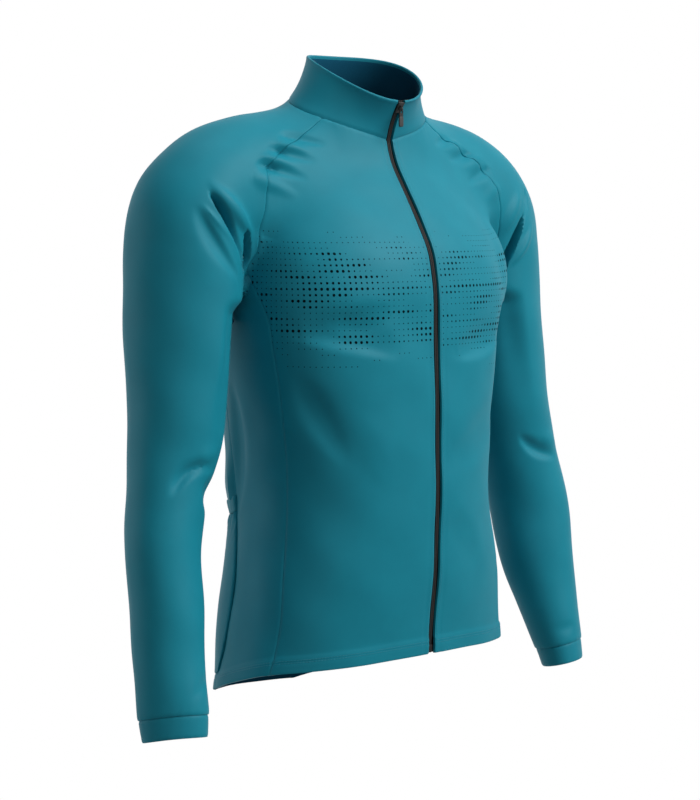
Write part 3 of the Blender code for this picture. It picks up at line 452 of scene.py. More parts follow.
def creaseLine(row, side):
    share = np.linspace(0, 1, 25)[:, None]
    ends = np.array(row[1:10], float).reshape(3, 3) * mm
    ends[:, 0] *= side
    bend = 2 * ends[1] - (ends[0] + ends[2]) / 2
    line = ends[0] * (1 - share) ** 2 + bend * 2 * share * (1 - share) + ends[2] * share**2
    upper = unit(np.cross(formNormal(line), np.gradient(line, axis=0)))
    flip = np.sign(upper[12, 2] + 0.3 * upper[12, 0] * side)
    return line, upper * flip, row[10] * mm, row[11] * mm, row[12]


allCreases = [creaseLine(row, side) for row in creases["rows"] for side in (-1, 1)
              if row[0] in (0, side)]


def creaseDepth(points):
    # how far the creases draw the cloth in
    flat = points.reshape(-1, 3)
    total = np.zeros(len(flat))
    for line, upper, halfWidth, depth, skew in allCreases:
        margin = 3.2 * halfWidth
        near = ((flat > line.min(0) - margin) & (flat < line.max(0) + margin)).all(1)
        if not near.any():
            continue
        some = flat[near]
        pick = np.arange(len(some))
        start, run = line[:-1], np.diff(line, axis=0)
        share = np.clip(((some[:, None] - start) * run).sum(-1) / (run**2).sum(-1), 0, 1)
        offset = some[:, None] - start - share[..., None] * run
        which = np.linalg.norm(offset, axis=-1).argmin(1)
        offset = offset[pick, which]
        lean = np.tanh((offset * upper[which]).sum(-1) / halfWidth)
        place = (which + share[pick, which]) / len(run)
        fade = np.sin(np.pi * (0.04 + 0.92 * place)) ** 0.8
        width = halfWidth * (0.45 + 0.55 * fade) * (1 + skew * lean)
        steep = 1.3 + 40 * max(0, depth - 10 * mm)  # a deep fold has steeper sides
        total[near] += depth * fade * np.exp(-(((offset**2).sum(-1) / width**2) ** steep))
    return total.reshape(points.shape[:-1])


def drift(points, size):
    # slow unevenness of worn cloth
    x, y, z = (points[..., k] / size for k in range(3))
    return (np.sin(1.9 * x + 1.1 * z + 0.4) * np.sin(1.3 * z - 1.7 * y + 1.2)
            + 0.6 * np.sin(3.1 * y + 2.3 * x + 2.0) * np.sin(2.7 * z + 0.5 * x))


# fine grids and walls

def refined(grid, rowShares, columnShares):
    grid = curveThrough(np.linspace(0, 1, grid.shape[0]), grid)(rowShares)
    grid = np.swapaxes(grid, 0, 1)
    grid = curveThrough(np.linspace(0, 1, grid.shape[0]), grid)(columnShares)
    return np.swapaxes(grid, 0, 1)


def sharesAlong(length, spacing, near=(0.6, 1.3, 2.4, 4.0)):
    # even steps with a few close ones at both ends, for the rolled seam edges
    close = np.array(near) * mm / length
    inner = np.linspace(close[-1], 1 - close[-1], max(3, int(round(length / spacing))))
    return np.r_[0, close[:-1], inner, 1 - close[-2::-1], 1]


def runsOf(grid, axis):
    step = np.linalg.norm(np.diff(grid, axis=axis), axis=-1)
    run = np.cumsum(step, axis=axis)
    zero = np.zeros_like(np.take(run, [0], axis))
    return np.concatenate([zero, run], axis=axis)


def drawnBack(grid, normals, gap, closed):
    # free edges drawn back by half the seam's gap
    moved = grid.copy()

    def back(edge, inside, normal, wrap):
        along = np.roll(edge, -1, 0) - np.roll(edge, 1, 0)
        if not wrap:
            along[0], along[-1] = edge[1] - edge[0], edge[-1] - edge[-2]
        away = unit(np.cross(normal, along))
        side = np.sign((away * (inside - edge)).sum(-1, keepdims=True))
        return away * side * gap / 2

    moved[0] += back(grid[0], grid[1], normals[0], closed)
    moved[-1] += back(grid[-1], grid[-2], normals[-1], closed)
    if not closed:
        moved[:, 0] += back(grid[:, 0], grid[:, 1], normals[:, 0], False)
        moved[:, -1] += back(grid[:, -1], grid[:, -2], normals[:, -1], False)
    return moved


def laidByRuns(outer, closed):
    # how far across and up each point lies on the cloth laid flat
    across, up = runsOf(outer, 1), runsOf(outer, 0)
    if closed:
        last = across[:, -1:] + np.linalg.norm(outer[:, -1] - outer[:, 0], axis=-1)[:, None]
        across, up = np.column_stack([across, last]), np.column_stack([up, up[:, 0]])
    across = (across.mean(0) + across) / 2
    up = np.broadcast_to(up.mean(1, keepdims=True), across.shape)
    return np.stack([across, up], -1)


def laidByGrain(grid, normals):
    # the same with the grain level on the wearer, so that printed rows run level
    level = unit(np.cross([0, 0, 1.0], normals))
    upward = np.cross(normals, level)
    step = np.diff(grid, axis=1)
    sideways = np.abs((step * (level[:, 1:] + level[:, :-1]) / 2).sum(-1))
    rise = (step * (upward[:, 1:] + upward[:, :-1]) / 2).sum(-1)
    across = np.column_stack([np.zeros(len(grid)), np.cumsum(sideways, axis=1)]) + zipper["edge"]
    up = np.column_stack([np.zeros(len(grid)), np.cumsum(rise, axis=1)])
    return np.stack([across, up + runsOf(grid, 0)[:, :1]], -1)


def meshOf(name, points, faces):
    mesh = bpy.data.meshes.new(name)
    mesh.from_pydata(np.asarray(points).reshape(-1, 3).tolist(), [], faces)
    return mesh


def ringFaces(index):
    # quads between closed rings of points, and a cap at each end
    wrap = np.roll(index, -1, axis=1)
    sides = np.stack([index[:-1], wrap[:-1], wrap[1:], index[1:]], -1).reshape(-1, 4)
    return sides.tolist() + [index[0, ::-1].tolist(), index[-1].tolist()]


def clothMesh(name, outer, inner, closed=False, mirror=False, laid=None):
    # a closed mesh of an outer and an inner grid, with its cloth laid flat in its UVs
    rows, columns = outer.shape[:2]
    index = np.arange(rows * columns).reshape(rows, columns)
    if closed:
        index = np.column_stack([index, index[:, 0]])
    if laid is None:
        laid = laidByRuns(outer, closed)
    a, b, c, d = index[:-1, :-1], index[:-1, 1:], index[1:, 1:], index[1:, :-1]
    quads = np.stack([a, b, c, d], -1).reshape(-1, 4)
    cells = [laid[:-1, :-1], laid[:-1, 1:], laid[1:, 1:], laid[1:, :-1]]
    uvs = np.stack(cells, 2).reshape(-1, 4, 2)
    shift = rows * columns
    faces, flat = [quads, quads[:, ::-1] + shift], [uvs, uvs[:, ::-1]]

    def band(first, second, place):
        faces.append(np.stack([first[:-1], second[:-1], second[1:], first[1:]], -1))
        flat.append(np.stack([place[:-1], place[:-1], place[1:], place[1:]], 1))

    band(index[0], index[0] + shift, laid[0])
    band(index[-1] + shift, index[-1], laid[-1])
    if not closed:
        band(index[:, 0] + shift, index[:, 0], laid[:, 0])
        band(index[:, -1], index[:, -1] + shift, laid[:, -1])
    faces, flat = np.concatenate(faces), np.concatenate(flat)
    if mirror:
        faces, flat = faces[:, ::-1], flat[:, ::-1]
    points = np.concatenate([outer.reshape(-1, 3), inner.reshape(-1, 3)])
    mesh = meshOf(name, points, faces.tolist())
    mesh.uv_layers.new(name="cut").data.foreach_set("uv", flat.reshape(-1).astype(np.float32))
    inside = np.zeros(len(faces), np.int32)
    inside[len(quads):2 * len(quads)] = 1
    return mesh, inside


def addPiece(name, mesh, materials, body, sharp=35, inside=None):
    for material in materials:
        mesh.materials.append(material)
    if inside is not None and len(materials) > 1:
        mesh.polygons.foreach_set("material_index", inside)
    mesh.shade_smooth()
    mesh.set_sharp_from_angle(angle=np.radians(sharp))
    piece = bpy.data.objects.new(name, mesh)
    bpy.context.scene.collection.objects.link(piece)
    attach(piece, body)
    return piece


cloth = {
    "knit": 1.5 * mm,
    "turned": 2.4 * mm,  # two layers, as at a turned hem
    "seamGap": 0.3 * mm,
    "hemDepth": 15 * mm,
    "hemRidge": 1.3 * mm,
    "spacing": 2.4 * mm,  # of the fine grids
    "roll": 0.65 * mm,  # how far an edge dips into its seam
    "rollWidth": 1.3 * mm,
    "pucker": 0.12 * mm,
    "drift": 0.52 * mm,
    "driftSize": 34 * mm,
}


def edgeDips(grid, closed=False, hem=False, zipEdge=False):
    # how far the outer face dips at its seams, and along a turned hem or zip edge
    up, across = runsOf(grid, 0), runsOf(grid, 1)
    gaps = [up, up[-1:] - up]
    if not closed:
        gaps += [across, across[:, -1:] - across]
    dip = np.zeros(grid.shape[:2])
    for k, gap in enumerate(gaps):
        along = across if k < 2 else up
        turned = (k == 0 and hem) or (k == 2 and zipEdge)
        width = cloth["rollWidth"] * (0.6 if turned else 1)
        dip += cloth["roll"] * (0.5 if turned else 1) * np.exp(-((gap / width) ** 2))
        if not turned:
            wave = np.sin(along / (1.7 * mm) + 1.4 * np.sin(along / (9 * mm)))
            dip += cloth["pucker"] * wave * np.exp(-gap / (4 * mm))
    if hem:
        # the cloth rounds over the turning's edge, and the stitches draw it in just below
        edge = up - cloth["hemDepth"]
        dip += cloth["hemRidge"] * (smoothStep(-1, 3, edge / mm) - 1)
        dip += 0.7 * mm * np.exp(-(((edge + 2.2 * mm) / (1.2 * mm)) ** 2))
    if zipEdge:
        dip += 0.4 * mm * np.exp(-(((across - 6.5 * mm) / (1.1 * mm)) ** 2))
    return dip


def clothWall(grid, closed=False, hem=False, zipEdge=False, settle=0.0, thick=None):
    # outer and inner faces of a panel, creased, with its edges drawn back and rolled
    grid = slipped(grid)
    normals = formNormal(grid)
    outer = drawnBack(grid, normals, cloth["seamGap"], closed)
    under = drawnBack(grid, normals, -cloth["seamGap"], closed)  # the turnings meet inside
    dip = creaseDepth(grid) + edgeDips(grid, closed, hem, zipEdge) + settle
    dip = dip + cloth["drift"] * drift(grid, cloth["driftSize"])
    thickness = np.full(grid.shape[:2], thick or cloth["knit"])
    if hem:
        thickness += (cloth["turned"] - cloth["knit"]) * (runsOf(grid, 0) < cloth["hemDepth"])
    if zipEdge:
        thickness[runsOf(grid, 1) < 8 * mm] = cloth["turned"]
    return outer - normals * dip[..., None], under - normals * (dip + thickness)[..., None]


def mirrored(points):
    return points * np.array([-1.0, 1.0, 1.0])


# materials

def linear(hexColour):
    channels = np.array([int(hexColour[i:i + 2], 16) / 255 for i in (0, 2, 4)])
    channels = np.where(channels <= 0.04045, channels / 12.92, ((channels + 0.055) / 1.055) ** 2.4)
    return (*channels, 1)


def newMaterial(name):
    material = bpy.data.materials.new(name)
    material.use_nodes = True
    tree = material.node_tree
    return material, tree, tree.nodes["Principled BSDF"]


def feed(made, inputs):
    # by name or number, an input takes a link, a node's first output or a constant
    for key, source in inputs.items():
        if isinstance(source, bpy.types.Node):
            source = source.outputs[0]
        if isinstance(source, bpy.types.NodeSocket):
            made.id_data.links.new(source, made.inputs[key])
        else:
            made.inputs[key].default_value = source


def node(tree, kind, *sources, settings=None, **inputs):
    # one node; its operation may follow its kind, and the sources go into its first inputs
    kind, _, operation = kind.partition(" ")
    made = tree.nodes.new("ShaderNode" + kind)
    if operation:
        made.operation = operation
    for key, value in (settings or {}).items():
        setattr(made, key, value)
    feed(made, {**dict(enumerate(sources)), **inputs})
    return made


brushedKnit = {
    "colour": "12899e",
    "deep": "0f7f94",  # the same cloth where its pile lies the other way
    "inside": "175a78",  # the brushed back; its deeper navy is painted shade for the dark inside of the jacket
    "wale": 0.9 * mm,  # real wales are 0.5 mm apart, drawn coarser so that they show
    "course": 0.8 * mm,
    "patch": 26 * mm,
    "roughness": 0.55,
    "gloss": 0.18,
    "sheen": 0.03,
    "bump": 0.12,
}

collarKnit = dict(brushedKnit, colour="12869b", deep="0f7c91", bump=0.15)
cuffKnit = dict(brushedKnit, colour="13879c", wale=1.4 * mm, course=1.1 * mm, bump=0.35)
pocketElastic = dict(brushedKnit, colour="168b9e", wale=2.2 * mm, course=1.2 * mm, bump=0.8)

dotPrint = {
    "pitch": 5.8 * mm,
    "biggest": 1.5 * mm,  # radius of a dot
    "least": 0.58 * mm,
    "foot": 287 * mm,  # the band, measured up from the hem
    "head": 428 * mm,
    "colour": "031116",
    "streak": (0.13, 0.71, 7.3),  # steps of the noise from dot to dot, row to row and side to side
    "contrast": 3.0,
    "bias": -1.25,
    "outward": 1.6,  # how fast the dots grow, for each metre from the zip
    "fade": 30 * mm,  # at the band's foot and head
}
fineBump = 0.1 * mm


def sineOf(tree, source, size):
    # a wave of one length, in metres
    return node(tree, "Math SINE", node(tree, "Math MULTIPLY", source, float(2 * np.pi / size)))


def dotMask(tree, split, place):
    # rows of round dots, bigger towards the armholes and thinning out to the middle in streaks
    pitch, foot, head = dotPrint["pitch"], dotPrint["foot"], dotPrint["head"]
    across, up = split.outputs[0], split.outputs[1]
    parts, cells = [], []
    for source in (across, up):
        scaled = node(tree, "Math DIVIDE", source, pitch)
        cells.append(node(tree, "Math FLOOR", scaled))
        inCell = node(tree, "Math SUBTRACT", node(tree, "Math FRACT", scaled), 0.5)
        parts.append(node(tree, "Math MULTIPLY", inCell, pitch))
    squares = [node(tree, "Math MULTIPLY", part, part) for part in parts]
    reach = node(tree, "Math SQRT", node(tree, "Math ADD", *squares))
    cells.append(node(tree, "Math SIGN", node(tree, "SeparateXYZ", place.outputs["Object"])))
    steps = [node(tree, "Math MULTIPLY", cell, step)
             for cell, step in zip(cells, dotPrint["streak"])]
    streaks = node(tree, "TexNoise", node(tree, "CombineXYZ", *steps), Scale=1.0, Detail=1.0)
    amount = node(tree, "Math ADD",
                  node(tree, "Math MULTIPLY_ADD", streaks, dotPrint["contrast"], dotPrint["bias"]),
                  node(tree, "Math MULTIPLY", across, dotPrint["outward"]))
    for low, high in ((foot, foot + dotPrint["fade"]), (head, head - dotPrint["fade"])):
        amount = node(tree, "Math ADD", amount, node(tree, "MapRange", up, low, high, -0.8, 0.0))
    radius = node(tree, "MapRange", amount, 0.3, 0.8, dotPrint["least"], dotPrint["biggest"])
    inside = node(tree, "Math SUBTRACT", radius, reach)
    edge = node(tree, "MapRange", inside, -0.08 * mm, 0.12 * mm)
    inBand = node(tree, "Math MULTIPLY", node(tree, "Math GREATER_THAN", up, foot),
                  node(tree, "Math LESS_THAN", up, head))
    shown = node(tree, "Math MULTIPLY", edge, node(tree, "Math GREATER_THAN", amount, 0.0))
    return node(tree, "Math MULTIPLY", shown, inBand)


def makeKnit(name, look, inside=False, dots=False):
    # polyester and elastane jersey, brushed inside and calendered outside: a smooth matt face
    # with a faint rib of wales, and a soft sheen where it turns away
    material, tree, shader = newMaterial(name)
    split = node(tree, "SeparateXYZ", node(tree, "UVMap", settings={"uv_map": "cut"}))
    weave = node(tree, "Math MULTIPLY", sineOf(tree, split.outputs[0], look["wale"]),
                 sineOf(tree, split.outputs[1], look["course"]))
    place = node(tree, "TexCoord")
    onPiece = place.outputs["Object"]
    patches = node(tree, "TexNoise", onPiece, Scale=float(1 / look["patch"]), Detail=3.0)
    fibre = node(tree, "TexNoise", onPiece, Scale=1400.0, Detail=2.0)
    # the inner face takes the inside colour, a deeper navy that is painted shade for the jacket's dark
    # inside
    main, other = ("inside", "inside") if inside else ("colour", "deep")
    mix = node(tree, "MixRGB", patches, linear(look[main]), linear(look[other]))
    colour = node(tree, "MixRGB", 0.35 if inside else 0.1, mix, fibre,
                  settings={"blend_type": "MULTIPLY"})
    gloss, sheen = (0.05, 0.02) if inside else (look["gloss"], look["sheen"])
    if dots:
        # the ink sinks in and is duller than the cloth round it
        mask = dotMask(tree, split, place)
        colour = node(tree, "MixRGB", mask, colour, linear(dotPrint["colour"]))
        gloss = node(tree, "MapRange", mask, 0.0, 1.0, gloss, 0.01)
        sheen = node(tree, "MapRange", mask, 0.0, 1.0, sheen, 0.0)
    height = node(tree, "Math MULTIPLY_ADD", weave, 0.1 if inside else 0.5, fibre)
    bump = node(tree, "Bump", Strength=look["bump"] * (3 if inside else 1), Distance=fineBump,
                Height=height)
    feed(shader, {"Base Color": colour, "Normal": bump, "Specular IOR Level": gloss,
                  "Sheen Weight": sheen, "Roughness": 0.95 if inside else look["roughness"],
                  "Sheen Roughness": 0.45, "Sheen Tint": linear("bfe3ea")})
    return material


def makeTape():
    # woven polyester zip tape, dyed black: a dull twill of 0.5 mm ribs
    material, tree, shader = newMaterial("wovenPolyesterTapeBlack")
    split = node(tree, "SeparateXYZ", node(tree, "UVMap", settings={"uv_map": "cut"}))
    slanted = node(tree, "Math ADD", split.outputs[0], split.outputs[1])
    ribs = node(tree, "Math MULTIPLY", sineOf(tree, slanted, 0.7 * mm),
                sineOf(tree, split.outputs[0], 0.5 * mm))
    feed(shader, {
        "Base Color": node(tree, "MixRGB", ribs, linear("050607"), linear("0b0c0d")),
        "Normal": node(tree, "Bump", Strength=0.5, Distance=fineBump, Height=ribs),
        "Roughness": 0.9, "Specular IOR Level": 0.15})
    return material


def makeSpeckled(name, first, second, scale, detail, bump, roughness, gloss):
    # two near tones in a fine noise that lifts the surface as well
    material, tree, shader = newMaterial(name)
    place = node(tree, "TexCoord")
    speckle = node(tree, "TexNoise", place.outputs["Object"], Scale=scale, Detail=detail)
    feed(shader, {
        "Base Color": node(tree, "MixRGB", speckle, linear(first), linear(second)),
        "Normal": node(tree, "Bump", Strength=bump, Distance=fineBump, Height=speckle),
        "Roughness": roughness, "Specular IOR Level": gloss})
    return material


def makePaint(name, first, second, roughness):
    # die-cast zinc under satin enamel: smooth, with faint orange peel and a soft highlight
    return makeSpeckled(name, first, second, 1800.0, 2.0, 0.08, roughness, 0.35)


def makeThread():
    # polyester sewing thread of the knit's colour: two plies twisted, a little shinier than it
    material, tree, shader = newMaterial("twistedPolyesterThreadTeal")
    place = node(tree, "TexCoord")
    plies = node(tree, "TexWave", place.outputs["Object"], Scale=900.0, Distortion=1.0)
    tone = node(tree, "MixRGB", plies.outputs[1], linear("0f7288"), linear("1c93a8"))
    feed(shader, {"Base Color": tone, "Roughness": 0.5})
    return material


knitTeal = makeKnit("brushedPolyesterKnitTeal", brushedKnit)
knitPrinted = makeKnit("brushedPolyesterKnitPrinted", brushedKnit, dots=True)
# the inner faces' material: the same knit, painted a deeper navy as painted shade
knitInsidePaintedShade = makeKnit("brushedPolyesterKnitInsidePaintedShade", brushedKnit, inside=True)
knitCollar = makeKnit("doubledPolyesterKnitCollar", collarKnit)
knitCuff = makeKnit("ribbedPolyesterKnitCuff", cuffKnit)
elasticTeal = makeKnit("ribbedElasticTeal", pocketElastic)
tapeBlack = makeTape()
# woven tape folded over nylon coils, dark grey: dull, with a slight shine on each rib's crown
coilGrey = makeSpeckled("nylonCoilTapeDarkGrey", "121212", "1b1a1a", 700.0, 3.0, 0.3, 0.6, 0.25)
paintBlack = makePaint("enamelledZincBlack", "060607", "0c0c0d", 0.4)
paintGrey = makePaint("enamelledZincGrey", "28292a", "323334", 0.5)
threadTeal = makeThread()
print("materials made")


# stitches that lie on the cloth

stitch = {
    "length": 2.3 * mm,
    "gap": 0.7 * mm,
    "radius": 0.24 * mm,
    "proud": 0.12 * mm,
    "hemRows": (13.4 * mm, 10.9 * mm),  # above the hem's edge
}


def stitchRow(points, normals, gap=None):
    # the ends, middles and normals of stitches along a line
    run = runAlong(points)
    pitch = stitch["length"] + (gap or stitch["gap"])
    count = max(1, int(run[-1] / pitch))
    start = (run[-1] - count * pitch) / 2 + np.arange(count) * pitch
    place, facing = curveThrough(run, points), curveThrough(run, normals)
    return place(start), place(start + stitch["length"]), unit(facing(start + stitch["length"] / 2))


def stitchMesh(name, rows):
    # every stitch is a short thread that rises from the cloth and goes back in
    first, last, normals = (np.concatenate(part) for part in zip(*rows))
    share = np.array([0, 0.2, 0.5, 0.8, 1.0])
    lift = np.array([-0.9, 0.5, 1.0, 0.5, -0.9]) * stitch["proud"]
    thin = np.array([0.45, 1, 1, 1, 0.45]) * stitch["radius"]
    turn = np.arange(6) / 6 * 2 * np.pi
    beside = unit(np.cross(last - first, normals))
    line = first[:, None] * (1 - share[:, None]) + last[:, None] * share[:, None]
    line = line + normals[:, None] * lift[:, None]
    spoke = (beside[:, None, None] * np.cos(turn)[:, None]
             + normals[:, None, None] * np.sin(turn)[:, None])
    points = line[:, :, None] + spoke * thin[:, None, None]
    count = len(points)
    index = np.arange(count * 30).reshape(count, 5, 6)
    wrap = np.roll(index, -1, axis=2)
    sides = np.stack([index[:, 1:], wrap[:, 1:], wrap[:, :-1], index[:, :-1]], -1).reshape(-1, 4)
    caps = np.concatenate([index[:, 0], index[:, -1, ::-1]])
    return meshOf(name, points, sides.tolist() + caps.tolist())


def addStitches(name, rows):
    return addPiece(name, stitchMesh(name, rows), [threadTeal], "jacket", sharp=80)


def acrossAt(outer, normals, height):
    # the line and normals at one distance above a panel's foot
    up = runsOf(outer, 0)
    line, facing = [], []
    for column in range(outer.shape[1]):
        row = min(int(np.searchsorted(up[:, column], height)), len(up) - 1)
        share = (height - up[row - 1, column]) / (up[row, column] - up[row - 1, column])
        line.append(outer[row - 1, column] * (1 - share) + outer[row, column] * share)
        facing.append(normals[row, column])
    return np.array(line), np.array(facing)


def upAt(outer, normals, distance):
    # the line and normals at one distance from a panel's first edge
    return acrossAt(np.swapaxes(outer, 0, 1), np.swapaxes(normals, 0, 1), distance)


def hemStitches(outer, normals):
    # the hem is held by two rows of stitches
    rows = []
    for height in stitch["hemRows"]:
        line, facing = acrossAt(outer, normals, height)
        inset = slice(2, -2)
        rows.append(stitchRow(line[inset], facing[inset]))
    return rows


# the panels

def panelPiece(name, nodeName, grid, side=1, flat=None, area=None, materials=None,
               slot="body_knit", sewing=None, grain=False, **walls):
    normals = formNormal(grid)
    laid = laidByGrain(grid, normals) if grain else None
    if side < 0:
        grid, normals = mirrored(grid), mirrored(normals)
    outer, inner = clothWall(grid, **walls)
    closed = walls.get("closed", False)
    mesh, inside = clothMesh(name, outer, inner, closed, (side < 0) != closed, laid)
    piece = addPiece(name, mesh, materials or [knitTeal, knitInsidePaintedShade], "jacket", inside=inside)
    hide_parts(nodeName)
    rows = sewing(outer, normals) if sewing else []
    sewn = [addStitches(name + "_stitches", rows)] if rows else []
    return piece


zipper = {
    "edge": 4.2 * mm,  # from the middle to a front's turned edge
    "tapeHalfWidth": 13 * mm,
    "tapeDepth": 3.0 * mm,
    "tapeThickness": 0.8 * mm,
    "tapeFlat": (0.013, 0.6),
    "pitch": 1.6 * mm,
    "neckRadius": 54 * mm,
    "hemRadius": 107 * mm,
    "sliderPlace": 0.84,  # share of the collar's height
}

front = {"columns": counts["front"], "flat": (0.26, 0.56), "area": 0.096}


def frontGrid():
    heights = rowHeights(hemHeight(0.0), trunk["frontArmpit"])
    heights = np.r_[heights, np.linspace(heights[-1], neckHeight(0.0), counts["raglan"] + 1)[1:]]
    zipLine = struckAhead(np.full(len(heights), zipper["edge"]), heights)
    headTurns = np.linspace(np.degrees(np.arcsin(zipper["edge"] / zipper["neckRadius"])),
                            arm["frontTurn"], front["columns"] + 1)
    footTurns = np.linspace(np.degrees(np.arcsin(zipper["edge"] / zipper["hemRadius"])),
                            turnOf(sideFront[0]), front["columns"] + 1)
    head, foot = neckLine(headTurns), hemLine(footTurns)
    zipLine[0], zipLine[-1] = foot[0], head[0]
    foot[-1], head[-1] = sideFront[0], frontRaglan[-1]
    return panelGrid(zipLine, np.vstack([sideFront, frontRaglan[1:]]), foot, head)


def fine(grid, spacing=cloth["spacing"]):
    length = float(runsOf(grid, 0)[-1].mean())
    width = float(runsOf(grid, 1)[:, -1].mean())
    return refined(grid, sharesAlong(length, spacing), sharesAlong(width, spacing))


def frontStitches(outer, normals):
    line, facing = upAt(outer, normals, 2.3 * mm)
    return hemStitches(outer, normals) + [stitchRow(line[6:-3], facing[6:-3])]


frontFine = fine(frontGrid())
for side, word in ((1, "left"), (-1, "right")):
    panelPiece(f"front_{word}_cloth", f"front_{word}", frontFine, side, flat=front["flat"],
               area=front["area"], materials=[knitPrinted, knitInsidePaintedShade], sewing=frontStitches,
               grain=True, hem=True, zipEdge=True)
print("fronts made")

sidePanel = {"flat": (0.1, 0.4), "area": 0.035}
sideFoot = hemLine(np.linspace(turnOf(sideFront[0]), turnOf(sideBack[0]), counts["side"] + 1))
sideFoot[0], sideFoot[-1] = sideFront[0], sideBack[0]
sideFine = fine(panelGrid(sideFront, sideBack, sideFoot, underarm))
for side, word in ((1, "left"), (-1, "right")):
    panelPiece(f"side_panel_{word}_cloth", f"side_panel_{word}", sideFine, side,
               flat=sidePanel["flat"], area=sidePanel["area"], sewing=hemStitches, hem=True)
print("side panels made")


back = {
    "flat": (0.4, 0.64),
    "area": 0.2,
    "blouse": 5.5 * mm,  # how far the cloth bags out over the pocket's elastic
    "blouseFrom": 192 * mm,
    "blouseRise": (1, 7, 14, 62),  # mm above the elastic: start, full, easing, gone
}


def backHalf():
    side = np.vstack([sideBack, backRaglan[1:]])
    head = neckLine(np.linspace(arm["backTurn"], 180, counts["back"] + 1))
    foot = hemLine(np.linspace(turnOf(sideBack[0]), 180, counts["back"] + 1))
    foot[0], head[0] = side[0], side[-1]
    heights = rowHeights(foot[-1, 2], trunk["backArmpit"])
    heights = np.r_[heights, np.linspace(heights[-1], head[-1, 2], counts["raglan"] + 1)[1:]]
    middle = struckRound(np.full(len(heights), 180.0), heights, trunk["neckCentre"])
    middle[0], middle[-1] = foot[-1], head[-1]
    return panelGrid(side, middle, foot, head)


def wholeWidth(half):
    return np.concatenate([half, mirrored(half[:, -2::-1])], axis=1)


def blousing(grid):
    up, across = runsOf(grid, 0), runsOf(grid, 1)
    start, full, easing, gone = back["blouseRise"]
    above = (up - back["blouseFrom"]) / mm
    rise = smoothStep(start, full, above) * (1 - smoothStep(easing, gone, above))
    gap = np.minimum(across, across[:, -1:] - across) / mm
    uneven = 1 + 0.18 * np.sin(across / (17 * mm) + 0.8) + 0.12 * np.sin(across / (7.3 * mm))
    return -back["blouse"] * rise * smoothStep(0.5, 9, gap) * uneven


backGrid = wholeWidth(backHalf())
backFine = fine(backGrid, 3 * mm)
panelPiece("back_cloth", "back", backFine, flat=back["flat"], area=back["area"], hem=True,
           sewing=hemStitches, settle=blousing(backFine))
print("back made")


pocket = {
    "foot": 17 * mm,
    "elasticFoot": 177 * mm,
    "elasticHead": 192 * mm,
    "stands": np.array([7, 9, 7]) * mm,
    "fullness": 0.65,
    "shape": ((17, 0.0), (52, 0.6), (90, 1.0), (128, 1.0), (160, 1.0), (172, 0.8), (177, 0.55),
              (185, 0.75), (192, 0.72)),
    "gather": 1.0 * mm,
    "gatherPitch": 8 * mm,
    "flat": (0.33, 0.18),
    "elasticFlat": (0.31, 0.018),
}


def pocketBand(low, high, spacing):
    # the back's own rows from one height above the hem to another
    levels = np.linspace(low, high, max(4, int(round((high - low) / spacing))))
    rowShare = np.interp(levels, [0, trunk["pocketReach"], trunk["pocketReach"] + 220 * mm],
                         [0, counts["pocket"], counts["pocket"] + counts["upper"]])
    rowShare = rowShare / (len(backGrid) - 1)
    width = float(runsOf(backGrid, 1)[:, -1].mean())
    return refined(backGrid, rowShare, sharesAlong(width, 2 * mm)), levels


def pocketStand(grid, levels):
    width = runsOf(grid, 1)
    across = width / width[:, -1:] * 3
    compartment = np.minimum(across.astype(int), 2)
    arch = np.clip(np.sin(np.pi * (across - compartment)), 0, 1) ** pocket["fullness"]
    shape = tableCurve(pocket["shape"], unitOf=mm)(levels) / mm
    return cloth["seamGap"] + cloth["knit"] + pocket["stands"][compartment] * arch * shape[:, None]


def pocketStitches(outer, normals):
    # two rows down each division between the compartments
    rows = []
    width = runsOf(outer, 1)[:, -1].mean()
    for division in (width / 3, width * 2 / 3):
        for shift in (-1.3 * mm, 1.3 * mm):
            line, facing = upAt(outer, normals, division + shift)
            rows.append(stitchRow(line[2:-1], facing[2:-1]))
    line, facing = acrossAt(outer, normals, 2.2 * mm)
    return rows + [stitchRow(line[2:-2], facing[2:-2])]


def elasticStitches(outer, normals):
    line, facing = acrossAt(outer, normals, 2 * mm)
    return [stitchRow(line[2:-2], facing[2:-2])]


def makePocket():
    for name, nodeName, low, high, slotName, flat, materials, sewing, spacing in (
        ("back_pocket_cloth", "back_pocket", pocket["foot"], pocket["elasticFoot"] - 0.3 * mm,
         "body_knit", pocket["flat"], [knitTeal, knitInsidePaintedShade], pocketStitches, 2.6 * mm),
        ("pocket_elastic_band", "pocket_elastic", pocket["elasticFoot"], pocket["elasticHead"],
         "elastic", pocket["elasticFlat"], [elasticTeal], elasticStitches, 1.2 * mm),
    ):
        grid, levels = pocketBand(low, high, spacing)
        normals = formNormal(grid)
        across = runsOf(grid, 1)
        gather = pocket["gather"] * np.sin(across / pocket["gatherPitch"] * 2 * np.pi
                                           + 1.3 * np.sin(across / (21 * mm)))
        gather = gather * np.exp(-np.abs(levels - pocket["elasticFoot"])[:, None] / (16 * mm))
        outer = grid + normals * (pocketStand(grid, levels) - creaseDepth(grid))[..., None]
        outer = drawnBack(outer, normals, cloth["seamGap"], False)
        dip = edgeDips(grid) * 0.5 + gather * (1 if "cloth" in name else 0.4)
        if "elastic" in name:
            # ribs of the elastic, and its rounded edges
            dip = dip + 0.18 * mm * np.sin(across / (2.2 * mm) * 2 * np.pi)
        outer = outer - normals * dip[..., None]
        mesh, inside = clothMesh(name, outer, outer - normals * cloth["knit"])
        piece = addPiece(name, mesh, materials, "jacket", inside=inside)
        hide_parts(nodeName)
        sewn = addStitches(name + "_stitches", sewing(outer, normals))


makePocket()
print("pocket made")


# sleeves and cuffs

def roundSleeve(station, turn, reach, slide=0.0):
    along, aft, out = sleeveAxes(station)
    spoke = -np.cos(turn)[..., None] * out - np.sin(turn)[..., None] * aft
    slide = np.broadcast_to(slide, np.shape(turn))[..., None]
    return sleeveCentre(station) + spoke * reach[..., None] + along * slide


